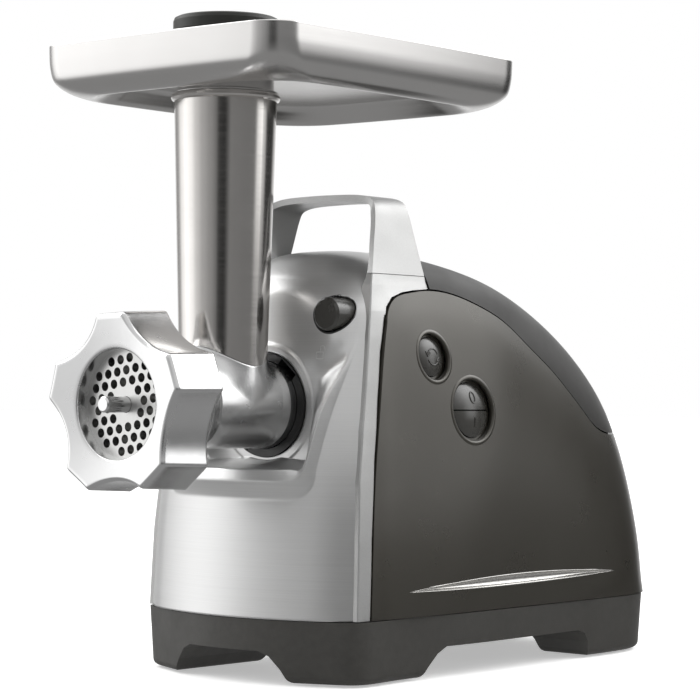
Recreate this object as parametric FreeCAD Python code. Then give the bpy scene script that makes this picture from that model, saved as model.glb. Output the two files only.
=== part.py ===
import FreeCAD, Part
import os, math
from FreeCAD import Vector as V

os.makedirs("parts", exist_ok=True)

# ---- driving dimensions, mm.  Built with the feed tube on x = 0, y = 0, the floor at z = 0,
# ---- the head pointing to -Y; everything is moved by -Y0 on export so the box is centred.
Y0 = 113.42           # centre of the overall length
AX_Z = 142.5          # height of the auger axis
NUT_FACE = -80.3      # front edge of the ring nut
PIN_TIP = -85.67      # tip of the auger pin
PLATE_OUT = -69.9     # outer face of the hole plate
PLATE_IN = -63.0
PLATE_R = 31.0        # No. 8 plate, 62 mm across
OPEN_R = 27.5         # opening of the ring nut
HOLE_R = 2.35         # 4.7 mm plate holes
BORE_R = 19.5         # barrel bore
BARREL_R = 22.5
COLLAR_R = 23.0
SOCKET_R = 27.5
SADDLE_R = 30.5       # the tube stops on a boss that follows the barrel
SOCKET_Y = 32.0       # front face of the socket ring
SEAM_Z = 33.6         # seam between base and body
TOP_Z = 226.0         # top of the body
TRAY_A, TRAY_Y0, TRAY_Y1, TRAY_TOP, TRAY_FLOOR = 87.0, -56.8, 146.9, 329.1, 311.7
TRAY_R, TRAY_BOW = 17.7, 2.5   # corner radius in plan, and how far the sides bow out
KNOB_R, KNOB_TOP = 27.6, 342.8
REAR_Y = 312.5        # back of the body at the seam
WALL = 3.0
GAP = 0.4             # seam between shells
MOTOR_X, MOTOR_Z = 16.37, 114.96
IDLER_X, IDLER_Z = -20.0, 93.96

PARTS = {}


def cyl(r, y0, y1, x=0.0, z=AX_Z):
    return Part.makeCylinder(r, y1 - y0, V(x, y0, z), V(0, 1, 0))


def cylz(r, z0, z1, x=0.0, y=0.0):
    return Part.makeCylinder(r, z1 - z0, V(x, y, z0), V(0, 0, 1))


def cylx(r, x0, x1, y, z):
    return Part.makeCylinder(r, x1 - x0, V(x0, y, z), V(1, 0, 0))


def box(x0, x1, y0, y1, z0, z1):
    return Part.makeBox(x1 - x0, y1 - y0, z1 - z0, V(x0, y0, z0))


def poly_face(pts):
    return Part.Face(Part.makePolygon(pts + [pts[0]]))


def rev_y(pts, x=0.0, z=AX_Z):
    f = poly_face([V(x + r, y, z) for r, y in pts])
    return f.revolve(V(x, 0, z), V(0, 1, 0), 360)


def rev_z(pts):
    f = poly_face([V(r, 0, z) for r, z in pts])
    return f.revolve(V(0, 0, 0), V(0, 0, 1), 360)


def prism_x(pts, x0, x1):
    return poly_face([V(x0, y, z) for y, z in pts]).extrude(V(x1 - x0, 0, 0))


def prism_y(pts, y0, y1):
    return poly_face([V(x, y0, z) for x, z in pts]).extrude(V(0, y1 - y0, 0))


def spline(pts):
    c = Part.BSplineCurve()
    c.interpolate(pts)
    return c.toShape()


def ring_spline(pts):
    c = Part.BSplineCurve()
    c.interpolate(Points=pts, PeriodicFlag=True)
    return Part.Wire([c.toShape()])


def loft(wires, ruled=False):
    s = Part.makeLoft(wires, True, ruled)
    if s.Volume < 0:
        s.reverse()
    return s


def tab(table, t):
    for (a, va), (b, vb) in zip(table, table[1:]):
        if t <= b:
            k = (t - a) / (b - a)
            return va + (vb - va) * k
    return table[-1][1]


def only(shape):
    s = sorted(shape.Solids, key=lambda q: -q.Volume)
    return s[0]


# ------------------------------------------------------------------ body forms
LEAN = [(33, 74), (75, 73), (104, 71), (130, 68.5), (155, 65), (178, 61), (192, 58), (206, 54),
        (218, 50), (231, 45.6), (241, 42.2), (249, 39)]
EDGE_Y = [(33, 20.8), (75, 22.5), (104, 25), (130, 30), (155, 36.6), (178, 43), (192, 47.6),
          (206, 54.6), (218, 60.5), (241, 71), (257, 77)]
CP0 = [(77, 0), (76, .2), (74, .36), (71, .53), (66.5, .69), (61, .81), (56, .885), (48, .955),
       (36, .984), (18, .998), (0, 1)]
CP1 = [(74.5, 0), (74.2, .2), (72.5, .42), (68, .62), (60, .78), (50, .885), (40, .94), (30, .97),
       (20, .988), (10, .997), (0, 1)]
TOPS = [(101, 226), (145.4, 218.6), (189, 205.6), (226.5, 187.7), (255.6, 168.2), (276.7, 147.4),
        (291.9, 121.9), (301.4, 95.6), (308.4, 65.4), (REAR_Y, SEAM_Z)]
FEET_Y = [101, 119, 136.9, 154.9, 171.9, 188.8, 203.8, 216.8, 228.7, 238.7]
SQUARE = [0, .34, .40, .40, .40, .40, .40, .40, .40, .40]   # fuller shoulders behind the handle
MIX = [0, .09, .19, .28, .36, .42, .5, .59, .75, 1]


def section(base, top, mix, dx, inset, full=0.0):
    by, bz = base
    ty, tz = top
    m = math.hypot(ty - by, tz - bz)
    ey, ez = (ty - by) / m, (tz - bz) / m
    right = []
    wide = CP0[0][0] + (CP1[0][0] - CP0[0][0]) * mix
    for (xa, fa), (xb, fb) in zip(CP0, CP1):
        xs = wide * ((xa + (xb - xa) * mix) / wide) ** (1 / (1 + full))
        right.append((xs + dx * (1 - (fa + (fb - fa) * mix) ** 2),
                      (fa + (fb - fa) * mix) * m))
    line = right + [(-x, h) for x, h in reversed(right[:-1])]
    out = []
    for k, (x, h) in enumerate(line):
        a = line[max(k - 1, 0)]
        b = line[min(k + 1, len(line) - 1)]
        tx, th = b[0] - a[0], b[1] - a[1]
        n = math.hypot(tx, th)
        nx, nh = th / n, -tx / n
        if k == 0 or k == len(line) - 1:
            nx, nh = (1.0 if k == 0 else -1.0), 0.0
        xi, hi = x - nx * inset, h - nh * inset
        out.append(V(xi, by + ey * hi, bz + ez * hi))
    return out


def body_wire(inset0, inset1, base, top, mix, dx, full=0.0):
    o = section(base, top, mix, dx, inset0, full)
    i = section(base, top, mix, dx, inset1, full)
    return Part.Wire([spline(o), Part.makeLine(o[-1], i[-1]), spline(list(reversed(i))),
                      Part.makeLine(i[0], o[0])])


STATIONS = [((14, SEAM_Z), (14, 226), 0.0, -3.2), ((45, SEAM_Z), (45, 226), 0.0, -1.4),
            ((74, SEAM_Z), (74, 226), 0.0, -0.3)]
STATIONS += [((FEET_Y[k], SEAM_Z), TOPS[k], MIX[k], 0.0, SQUARE[k]) for k in range(len(TOPS))]

body = loft([body_wire(0.0, WALL, *s) for s in STATIONS])

# side-view outline of the dark side panels: front edge, then the seam under the spine cover
PANEL_FRONT = [(32.3, SEAM_Z - 4), (34.5, 75), (39, 115), (44.8, 146), (51.2, 171), (57.6, 187)]
PANEL_CORNER = [(57.6, 187), (61.5, 194.5), (68, 199.6), (78, 202.6), (88, 204)]
PANEL_TOP = [(88, 204), (101, 205.1), (117.7, 203.6), (138.3, 198), (160.2, 189.3), (179.9, 176.9), (200.8, 163.8),
             (217.2, 151.3), (232.4, 139.1), (241.2, 132.4), (252, 128.6), (268, 127.4), (330, 127.4)]


def panel_prism(dy, dz, x0, x1):
    def q(p):
        return V(x0, p[0] + dy, p[1] + dz)
    w = Part.Wire([spline([q(p) for p in PANEL_FRONT]), spline([q(p) for p in PANEL_CORNER]),
                   spline([q(p) for p in PANEL_TOP]),
                   Part.makeLine(q((330, 127.4)), q((330, SEAM_Z - 4))),
                   Part.makeLine(q((330, SEAM_Z - 4)), q(PANEL_FRONT[0]))])
    return Part.Face(w).extrude(V(x1 - x0, 0, 0))


panel = panel_prism(0.5, -1.0, -100, 100)
panel_free = panel_prism(0, 0, -100, 100)
shells = body.common(panel)
right_shell = only(shells.common(box(0.15, 120, 0, 340, 0, 260)))
left_shell = only(shells.common(box(-120, -0.15, 0, 340, 0, 260)))
spine = only(body.cut(panel_free).common(box(-100, 100, 101.4, 340, 120, 240)))

# front shell: convex apron that leans back and rolls over into the top of the body
FRONT = [  # centre (y, z), edge (x, y, z)
    ((-2.0, SEAM_Z), (73.8, 20.8, SEAM_Z)), ((1.0, 75), (72.8, 22.5, 75)),
    ((4.0, 104), (70.8, 25, 104)), ((8.5, 130), (68.3, 30, 130)), ((14.5, 155), (64.8, 36.6, 155)),
    ((22.0, 178), (60.8, 43, 178)), ((29.5, 196), (57, 47.2, 191)), ((43, 213), (49.4, 55, 203)),
    ((60, 223), (45.6, 66, 212)), ((80, 226), (44.4, 80, 216.5)), ((100.9, 226), (43.8, 100.9, 218))]


def pchip(rows, t):
    """smooth monotone-ish interpolation of equally indexed rows at t (row index)"""
    k = min(int(t), len(rows) - 2)
    u = t - k
    p1, p2 = rows[k], rows[k + 1]
    p0 = rows[k - 1] if k > 0 else [2 * a_ - b_ for a_, b_ in zip(p1, p2)]
    p3 = rows[k + 2] if k + 2 < len(rows) else [2 * b_ - a_ for a_, b_ in zip(p1, p2)]
    out = []
    for q0, q1, q2, q3 in zip(p0, p1, p2, p3):
        m1, m2 = (q2 - q0) / 2.0, (q3 - q1) / 2.0
        out.append((2 * u**3 - 3 * u**2 + 1) * q1 + (u**3 - 2 * u**2 + u) * m1
                   + (-2 * u**3 + 3 * u**2) * q2 + (u**3 - u**2) * m2)
    return out


ROWS = [[c[0], c[1], e[0], e[1], e[2]] for c, e in FRONT]
N_FRONT = 3 * (len(ROWS) - 1)


def front_row(t):
    return pchip(ROWS, t)


def front_pts(t, depth, ext=1.0, even=False):
    cy, cz, ex, ey, ez = front_row(t)
    a, b = front_row(max(t - 0.3, 0)), front_row(min(t + 0.3, len(ROWS) - 1))
    ty, tz = b[0] - a[0], b[1] - a[1]
    n = math.hypot(ty, tz)
    ny, nz = tz / n, -ty / n          # into the body
    if t == 0:
        ny, nz = 1.0, 0.0
    if t >= len(ROWS) - 1:
        ny, nz = 0.0, -1.0
    w = min(max((t - 5) / 2.0, 0), 1)
    out = []
    for k in range(-8, 9):
        f = k / 8.0 * ext
        g = abs(f) ** (2.0 + 0.6 * w)
        d = depth if even or depth == 0 else 1.0 + (depth - 1.0) * (1 - f ** 6)
        out.append(V(ex * f, cy + (ey - cy) * g + ny * d, cz + (ez - cz) * g + nz * d))
    return out


def patch(grid):
    s_ = Part.BSplineSurface()
    s_.interpolate(grid)
    return s_


def thick(og, ig):
    """closed solid between two four-sided skins given as grids of points"""
    so, si = patch(og), patch(ig)
    faces = [so.toShape(), si.toShape()]
    u0, u1, v0, v1 = so.bounds()
    p0, p1, q0, q1 = si.bounds()
    for e, f in ((so.uIso(u0), si.uIso(p0)), (so.uIso(u1), si.uIso(p1)),
                 (so.vIso(v0), si.vIso(q0)), (so.vIso(v1), si.vIso(q1))):
        faces.append(Part.makeRuledSurface(e.toShape(), f.toShape()))
    sh = Part.Compound(faces)
    sh.sewShape()
    shell_ = sh.Shells[0] if sh.Shells else Part.makeShell(faces)
    sol = Part.makeSolid(shell_)
    if sol.Volume < 0:
        sol.reverse()
    return sol


TS = [k / 3.0 for k in range(N_FRONT + 1)]
front = thick([front_pts(t, 0) for t in TS], [front_pts(t, WALL) for t in TS])
front_raw = front
print("front skin", front.isValid(), front.Volume, front.isClosed())

# flat pocket around the socket, cut into the convex front, with a lip below it
def pocket(grow, y0, y1):
    pts = []
    w0, w1, zb, zt, r = 44 + grow, 54 + grow, 101 - grow, 186 + grow, 22
    pts.append((w1, zt))
    for k in range(7):
        a = -math.pi / 2 * k / 6
        pts.append((w0 - r + r * math.cos(a), zb + r + r * math.sin(a)))
    for k in range(7):
        a = -math.pi / 2 - math.pi / 2 * k / 6
        pts.append((-w0 + r + r * math.cos(a), zb + r + r * math.sin(a)))
    pts.append((-w1, zt))
    return prism_y(pts, y0, y1)


inner = pocket(0.0, -30, 34.0)
walls = pocket(2.4, -30, 36.4).cut(inner)
# everything behind the outer skin of the front, as one block, to trim the pocket walls
deep = []
for t in TS:
    if 1.0 <= t <= 6.4:
        deep.append([V(p.x, 75.0, p.z) for p in front_pts(t, 0)])
block = thick([front_pts(t, 0.8) for t in TS if 1.0 <= t <= 6.4], deep)
walls = walls.common(block)
print("walls", walls.isValid(), walls.Volume, len(walls.Solids), "block", block.isValid(), block.Volume)
front = front.cut(inner)
print("front cut", front.isValid(), front.Volume, len(front.Solids))
front = front.fuse(walls)
print("front fused", front.isValid(), front.Volume, len(front.Solids))
front = front.cut(cyl(SOCKET_R + 0.3, 20, 60))
front = front.cut(cyl(9.9, 0, 60, 42.0, 190.0))
front_shell = only(front)
print("front done", front_shell.isValid(), front_shell.Volume)

# hoop: two trim bands and the handle arch over the top
HOOP = [(74, SEAM_Z), (73.78, 44), (73.45, 58), (73, 75), (72.2, 89), (71, 104), (68.5, 130), (65, 155), (61, 178), (58, 192), (54, 206),
        (50, 218), (45.8, 231), (42.6, 241), (40.2, 247.5), (37.6, 251.5), (33, 253.9), (26, 255.2), (13, 255.8),
        (0, 256)]
full = HOOP + [(-x, z) for x, z in reversed(HOOP[:-1])]
og, ig = [], []
for k, (x, z) in enumerate(full):
    a, b = full[max(k - 1, 0)], full[min(k + 1, len(full) - 1)]
    tx, tz = b[0] - a[0], b[1] - a[1]
    n = math.hypot(tx, tz)
    nx, nz = tz / n, -tx / n
    if k in (0, len(full) - 1):
        nx, nz = (1.0 if k == 0 else -1.0), 0.0
    yf = tab(EDGE_Y, z) + 1.3 * min(max((206 - z) / 14.0, 0), 1)
    yr = tab([(33, 40), (120, 66), (180, 101), (300, 101)], z)
    t = 5.0 - 1.6 * min(max((z - 204) / 12.0, 0), 1)
    og.append([V(x, yf + (yr - yf) * q, z) for q in (0, .25, .5, .75, 1)])
    ig.append([V(x - nx * t, yf + (yr - yf) * q, z - nz * t) for q in (0, .25, .5, .75, 1)])
hoop = thick(og, ig)
print("hoop", hoop.isValid(), hoop.Volume)
hoop = hoop.cut(panel_free)
print("hoop", hoop.isValid(), hoop.Volume, "front", front_shell.isValid(), front_shell.Volume, front_shell.isInside(V(0, -300, 0), 0.01, True))
near = [t for t in TS if 5.0 <= t <= 10.0]
nib = thick([front_pts(t, -0.35, 1.012, True) for t in near], [front_pts(t, 3.4, 1.012, True) for t in near])
print("nib", nib.isValid(), nib.Volume)
hoop = hoop.cut(nib)
print("hoop", hoop.isValid(), hoop.Volume)
trims = hoop.common(box(-100, 100, 0, 200, 0, 211.8))
right_trim = only(trims.common(box(20, 100, 0, 200, 0, 260)))
left_trim = only(trims.common(box(-100, -20, 0, 200, 0, 260)))
carry_handle = only(hoop.common(box(-100, 100, 0, 200, 212.1, 300)))

# openings for the buttons in the right panel
REV_Y, REV_Z, REV_R = 92.5, 168.7, 13.0
SW_Y, SW_Z, SW_R = 120.5, 140.6, 17.3
right_shell = right_shell.cut(cylx(REV_R, 30, 100, REV_Y, REV_Z)).cut(cylx(SW_R, 30, 100, SW_Y, SW_Z))
# long lens-shaped grip line low on both panels, the same depth all along
LENS_Y, LENS_L, LENS_Z, LENS_RISE, LENS_UP, LENS_DOWN = 155.7, 95.2, 47.7, 1.0, 4.3, 1.9
lens = []
for k in range(17):
    f = -1 + k / 8.0
    lens.append((LENS_Y + LENS_L * f, LENS_Z + LENS_RISE * f + LENS_UP * (1 - f * f)))
for k in range(1, 16):
    f = 1 - k / 8.0
    lens.append((LENS_Y + LENS_L * f, LENS_Z + LENS_RISE * f - LENS_DOWN * (1 - f * f)))
skin = loft([body_wire(-0.8, 2.0, *s) for s in STATIONS])
right_shell = only(right_shell.cut(skin.common(prism_x(lens, 55, 90))))
left_shell = only(left_shell.cut(skin.common(prism_x(lens, -90, -55))))

PARTS["front_shell"] = front_shell
PARTS["right_trim"], PARTS["left_trim"], PARTS["carry_handle"] = right_trim, left_trim, carry_handle
PARTS["right_shell"], PARTS["left_shell"], PARTS["spine_cover"] = right_shell, left_shell, spine


# ------------------------------------------------------------------ base
def plan(scale, z):
    right = [(0, -2), (20.6, -0.2), (40.6, 4.9), (59, 12.6), (73.0, 20.6), (75.6, 50), (76.8, 101),
             (76.6, 160), (74.5, FEET_Y[-1])]
    m = REAR_Y - FEET_Y[-1]
    wide = CP1[0][0]
    right += [(wide * (x / wide) ** (1 / (1 + SQUARE[-1])), FEET_Y[-1] + f * m) for x, f in CP1[1:]]
    pts = right + [(-x, y) for x, y in reversed(right[1:-1])]
    return ring_spline([V(x * scale, 150 + (y - 150) * scale, z) for x, y in pts])


base = loft([plan(0.978, 1.2), plan(0.993, SEAM_Z - 0.4)], True)
base = base.cut(loft([plan(0.94, 19.5), plan(0.95, SEAM_Z + 2)], True))
base = base.cut(prism_x([(74, 0), (80, 6.5), (87, 13), (94, 16.5), (216, 16.5), (222.5, 14.5), (226, 9.5), (227, 0), (227, -1),
                         (74, -1)], -100, 100))
base = base.cut(prism_y([(-41, 0), (-36, 8), (-30, 14.5), (-24, 17.0), (24, 17.0), (30, 14.5), (36, 8), (41, 0), (41, -1),
                         (-41, -1)], -20, 340))


def soften(shape, radii):
    """round the lower edges of the four feet"""
    low = [e for e in shape.Edges if max(v.Z for v in e.Vertexes) < 1.3]
    for r in radii:
        try:
            got = shape.makeFillet(r, low)
        except Exception:
            continue
        if got.isValid() and 0 < got.Volume < shape.Volume:
            print("feet rounded", r, len(low))
            return got
    return shape


base = soften(base, (3.5, 2.5, 1.5))
FEET = [(58, 48), (-58, 48), (54, 266), (-54, 266)]
for x, y in FEET:
    base = base.cut(cylz(7.2, 0, 4.2, x, y)).cut(cylz(3.2, 4, 10, x, y)).cut(cylz(1.8, 9, 40, x, y)).fuse(cylz(5.0, 19.0, 31.0, x, y).cut(cylz(1.8, 9, 40, x, y)))
for k in range(7):                                   # air slots in the floor of the base
    base = base.cut(box(-28, 28, 120 + 12 * k, 125 + 12 * k, 10, 25))
base = base.cut(cyl(4.2, 280, 320, 0, 25.6))         # cord outlet
PARTS["base_tray"] = only(base)
PARTS["rubber_feet"] = Part.makeCompound([cylz(7.0, 0, 4.0, x, y).cut(cylz(2.0, -1, 1.5, x, y)) for x, y in FEET])
PARTS["base_screws"] = Part.makeCompound([cylz(3.0, 7.0, 9.0, x, y).fuse(cylz(1.5, 9, 30, x, y)) for x, y in FEET])
gland = cyl(4.0, 298.5, REAR_Y, 0, 25.6).fuse(cyl(5.6, 298.1, 301.9, 0, 25.6))
PARTS["cord_gland"] = gland.cut(cyl(2.9, 260, 320, 0, 25.6))

# ------------------------------------------------------------------ grinding head
head = rev_y([(31.15, -66), (34.2, -66), (34.2, -44), (33, -40.5), (27, -33), (23.4, -27),
              (BARREL_R, -24), (BARREL_R, 22), (COLLAR_R, 27), (COLLAR_R, 48), (18.6, 48), (18.6, 35),
              (9.0, 35), (9.0, 26), (BORE_R, 26), (BORE_R, -52), (28.5, -54), (28.5, -62.85),
              (31.15, -62.85)])
stub = rev_z([(18.5, 142.5), (20.7, 142.5), (21.3, 181), (18.5, 181)])
boss = rev_z([(18.5, 142.5), (22.4, 142.5), (22.6, 178), (18.5, 178)]).common(cyl(SADDLE_R - 0.25, -60, 60))
head = head.fuse(stub.cut(cyl(21.0, -60, 60))).fuse(boss.cut(cyl(21.0, -60, 60)))
head = head.cut(cylz(18.5, AX_Z, 200))
for a in (90, 270):                                   # bayonet lugs
    lug = rev_y([(22.6, 42), (26.0, 42), (26.0, 46), (22.6, 46)])
    w = 5.5
    lug = lug.common(box(-w, w, 40, 50, AX_Z if a == 90 else AX_Z - 40, AX_Z + 40 if a == 90 else AX_Z))
    head = head.fuse(lug)
PARTS["head_casting"] = only(head)


def tube_r(z):
    return 22.3 + (z - 142.5) * (26.6 - 22.3) / (297 - 142.5)


tube = rev_z([(tube_r(142.5) - 1.2, 142.5), (tube_r(142.5), 142.5), (tube_r(299.2), 299.2), (27.9, 299.9),
              (28.4, 300.8), (28.4, 302.0), (27.9, 302.9), (tube_r(303) - 1.2, 302.9)])
tube = tube.cut(cyl(SADDLE_R, -60, 60))
PARTS["feed_tube"] = only(tube)

PARTS["auger_bush"] = cyl(8.98, 26.5, 34.8).cut(cyl(8.06, 20, 40))

# auger: core, journal, hex tail, square for the knife, pin, screw flight
core = rev_y([(0, PIN_TIP), (3.2, PIN_TIP), (4.0, PIN_TIP + 0.8), (4.0, -62.5), (6.4, -62.5),
              (6.4, -56.4), (9.0, -56.4), (9.0, 25.0), (8.0, 26), (8.0, 36), (0, 36)])
hexa = prism_y([(6.9 * math.cos(math.radians(60 * k)), AX_Z + 6.9 * math.sin(math.radians(60 * k)))
                for k in range(6)], 35.5, 50)
pitch, turns = 25.0, 2.9
helix = Part.makeHelix(pitch, pitch * turns, 8.0)
prof = Part.makePolygon([V(7.5, 0, -3.0), V(18.9, 0, -1.3), V(18.9, 0, 1.3), V(7.5, 0, 3.0), V(7.5, 0, -3.0)])
flight = Part.Wire(helix).makePipeShell([prof], True, True)
flight.rotate(V(0, 0, 0), V(1, 0, 0), 90)
flight.translate(V(0, 21.0, AX_Z))
auger = core.fuse(hexa).fuse(flight)
auger = auger.common(cyl(18.9, PIN_TIP - 1, 51).cut(cyl(40, -56.4, 60).cut(cyl(18.9, -80, 60))))
PARTS["auger"] = only(auger)

knife = cyl(9.5, -62.9, -56.6)
for k in range(4):
    arm = prism_y([(0, AX_Z - 4.6), (24, AX_Z - 3.2), (26.5, AX_Z + 1), (23, AX_Z + 4.4), (0, AX_Z + 4.6)],
                  -62.9, -58.2)
    arm.rotate(V(0, 0, AX_Z), V(0, 1, 0), 90 * k)
    knife = knife.fuse(arm)
PARTS["knife"] = only(knife.cut(cyl(6.45, -70, -50)))

plate = cyl(PLATE_R, PLATE_OUT, PLATE_IN).cut(cyl(4.15, -80, -50))
drill = []
p_, rot = 6.5, math.radians(10)
for i in range(-5, 6):
    for j in range(-5, 6):
        x, z = p_ * (i + j * 0.5), p_ * j * math.sqrt(3) / 2
        xr, zr = x * math.cos(rot) - z * math.sin(rot), x * math.sin(rot) + z * math.cos(rot)
        if 8.4 < math.hypot(xr, zr) < 25.0:
            drill.append(cyl(HOLE_R, -75, -60, xr, AX_Z + zr))
plate = plate.cut(Part.makeCompound(drill))
PARTS["hole_plate"] = only(plate)


def lobes(y, tip, half, dip):
    """five flat-tipped lobes joined by concave arcs"""
    def at(r, side, a):
        return V(r * math.cos(a) - side * math.sin(a), y, AX_Z + r * math.sin(a) + side * math.cos(a))
    edges = []
    for k in range(5):
        c = math.radians(93.1 + 72 * k)
        n = c + math.radians(72)
        edges.append(Part.makeLine(at(tip, -half, c), at(tip, half, c)))
        edges.append(Part.Arc(at(tip, half, c), at(dip, 0, c + math.radians(36)), at(tip, -half, n)).toShape())
    return Part.Wire(edges)


nut = loft([lobes(NUT_FACE, 44.0, 9.0, 36.9), lobes(NUT_FACE + 1.7, 45.5, 9.4, 38.2), lobes(NUT_FACE + 31.9, 46.9, 9.9, 39.0)], True)
nut = nut.cut(rev_y([(0, -90), (60, -90), (46, NUT_FACE), (OPEN_R, NUT_FACE + 3.4), (0, NUT_FACE + 3.4)]))   # dished face
nut = nut.cut(cyl(OPEN_R, -80, -60)).cut(cyl(34.55, PLATE_OUT - 0.02, -30))
PARTS["ring_nut"] = only(nut)


# feed tray: pressed pan with convex sides, rolled rim and a neck into the tube
def pan(inset, z):
    """plan of the tray at one height: four bowed sides and four round corners, all tangent"""
    yc = (TRAY_Y0 + TRAY_Y1) / 2
    a_, b_ = TRAY_A - inset, (TRAY_Y1 - TRAY_Y0) / 2 - inset
    r1, r2 = (b_ * b_ + TRAY_BOW**2) / (2 * TRAY_BOW), (a_ * a_ + TRAY_BOW**2) / (2 * TRAY_BOW)
    r = TRAY_R + 1.45 * min(max(inset, 0), 10.0)
    px, py = a_ - r1, b_ - r2                 # centres (px, 0) and (0, py) of the right and the far side
    d = math.hypot(px, py)
    h = ((r1 - r) ** 2 - (r2 - r) ** 2 + d * d) / (2 * d)
    w = math.sqrt(max((r1 - r) ** 2 - h * h, 0))
    ux, uy = -px / d, py / d
    best = None
    for sg in (1, -1):
        cx, cy = px + ux * h - sg * uy * w, uy * h + sg * ux * w
        if cx > 0 and cy > 0:
            best = (cx, cy)
    cx, cy = best

    def on(x0, y0, rr):
        m = math.hypot(cx - x0, cy - y0)
        return (x0 + (cx - x0) / m * rr, y0 + (cy - y0) / m * rr)
    t1, t2 = on(px, 0, r1), on(0, py, r2)
    m1, m2 = ((t1[0] + t2[0]) / 2 - cx, (t1[1] + t2[1]) / 2 - cy)
    mm = math.hypot(m1, m2)
    mid = (cx + m1 / mm * r, cy + m2 / mm * r)

    def v(x, y):
        return V(x, yc + y, z)
    e = [Part.Arc(v(t1[0], -t1[1]), v(a_, 0), v(t1[0], t1[1])),
         Part.Arc(v(t1[0], t1[1]), v(mid[0], mid[1]), v(t2[0], t2[1])),
         Part.Arc(v(t2[0], t2[1]), v(0, b_), v(-t2[0], t2[1])),
         Part.Arc(v(-t2[0], t2[1]), v(-mid[0], mid[1]), v(-t1[0], t1[1])),
         Part.Arc(v(-t1[0], t1[1]), v(-a_, 0), v(-t1[0], -t1[1])),
         Part.Arc(v(-t1[0], -t1[1]), v(-mid[0], -mid[1]), v(-t2[0], -t2[1])),
         Part.Arc(v(-t2[0], -t2[1]), v(0, -b_), v(t2[0], -t2[1])),
         Part.Arc(v(t2[0], -t2[1]), v(mid[0], -mid[1]), v(t1[0], -t1[1]))]
    return Part.Wire([c.toShape() for c in e])


F = TRAY_FLOOR
# profile of the sheet, inset and height: upright wall, gutter all round, raised floor
WALLS = [(0.0, TRAY_TOP), (0.07, 324.5), (0.27, 318.5), (1.1, 311.7), (2.8, 308.0), (5.4, 305.1), (8.0, 303.4), (10.5, 302.4), (13.0, 302.2),
         (15.6, 303.7), (18.4, 306.4), (21.4, 309.4), (24.4, 311.2), (28.0, F)]
SHEET = 1.0
inside = []
for k, (i_, z_) in enumerate(WALLS):
    p_, q_ = WALLS[max(k - 1, 0)], WALLS[min(k + 1, len(WALLS) - 1)]
    di, dz = q_[0] - p_[0], q_[1] - p_[1]
    if k == len(WALLS) - 1:
        di, dz = 1.0, 0.0
    m_ = math.hypot(di, dz)
    inside.append((i_ - dz / m_ * SHEET, z_ + di / m_ * SHEET))
inside = [(inside[0][0], TRAY_TOP + 1.0)] + inside[1:]
outer = loft([pan(i_, z_) for i_, z_ in WALLS])
inner_pan = loft([pan(i_, z_) for i_, z_ in inside])
tray = outer.cut(inner_pan)
print("tray", outer.isValid(), inner_pan.isValid(), tray.isValid(), tray.Volume)
tray = tray.fuse(Part.Face(pan(23.6, F + 0.05)).extrude(V(0, 0, 0.9)))
tray = tray.fuse(rev_z([(20, 303.1), (27.2, 303.1), (27.2, 304.2), (25.2, 304.6), (24.8, F + 0.5), (20, F + 0.5)]))
tray = tray.fuse(cylz(24.6, 287.0, F + 0.8)).cut(cylz(23.6, 270, F + 10))
PARTS["feed_tray"] = only(tray)

pusher = rev_z([(0, KNOB_TOP - 2.0), (21.0, KNOB_TOP - 2.0), (22.0, KNOB_TOP), (25.6, KNOB_TOP), (27.0, KNOB_TOP - 0.7),
                (KNOB_R, KNOB_TOP - 2.4), (KNOB_R, KNOB_TOP - 7), (27.0, KNOB_TOP - 9), (26.6, F + 3),
                (26.0, F + 1.5), (22.4, F + 1.5), (21.0, 195), (19.5, 192), (0, 192)])
PARTS["pusher"] = pusher.cut(rev_z([(0, KNOB_TOP - 6), (18.5, KNOB_TOP - 6), (18.0, 196), (0, 196)]))

# ------------------------------------------------------------------ socket and drive
ringp = cyl(SOCKET_R, SOCKET_Y, 52).cut(cyl(COLLAR_R + 0.3, 20, 60)).cut(cyl(26.4, 41.6, 46.4))
for a in (40, 220):                                   # entry slots of the bayonet
    slot = box(-6.5, 6.5, 30, 42, AX_Z + 20, AX_Z + 26.4)
    slot.rotate(V(0, 0, AX_Z), V(0, 1, 0), a)
    ringp = ringp.cut(slot)
PARTS["socket_ring"] = only(ringp)

ALPHA = math.radians(25)


def inv(a):
    return math.tan(a) - a


def gear(n, m, y0, y1, cx, cz, phase, back=0.16, add=0.9, ded=1.2):
    rp = n * m / 2.0
    rb = rp * math.cos(ALPHA)
    ra, rr = rp + add * m, rp - ded * m
    half = math.pi / (2 * n) - back / (2 * rp)
    r0 = max(rb, rr)
    flank = []
    for k in range(4):
        r = r0 + (ra - r0) * k / 3.0
        flank.append((r, half + inv(ALPHA) - inv(math.acos(min(1.0, rb / r)))))
    if rr < rb - 0.02:
        flank.insert(0, (rr, flank[0][1]))
    pts = []
    for k in range(n):
        c = phase + 2 * math.pi * k / n
        for r, h in flank:
            pts.append((cx + r * math.cos(c - h), cz + r * math.sin(c - h)))
        for r, h in reversed(flank):
            pts.append((cx + r * math.cos(c + h), cz + r * math.sin(c + h)))
    return prism_y(pts, y0, y1)


TH1 = math.atan2(IDLER_Z - AX_Z, IDLER_X)                       # output gear to idler
TH2 = math.atan2(MOTOR_Z - IDLER_Z, MOTOR_X - IDLER_X)          # idler to motor
out_gear = gear(72, 1.25, 62, 76, 0, AX_Z, TH1)
out_gear = out_gear.cut(cyl(11.0, 50, 90)).cut(rev_y([(18, 61), (38, 61), (38, 65), (18, 65)]))
PARTS["output_gear"] = only(out_gear)
coup = cyl(15.5, 38, 56).fuse(cyl(11.0, 55, 100.8)).fuse(cyl(14.0, 56, 61.6))
sock = prism_y([(7.25 * math.cos(math.radians(60 * k)), AX_Z + 7.25 * math.sin(math.radians(60 * k)))
                for k in range(6)], 36, 51)
coup = coup.cut(sock)
PARTS["drive_coupling"] = only(coup)

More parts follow.
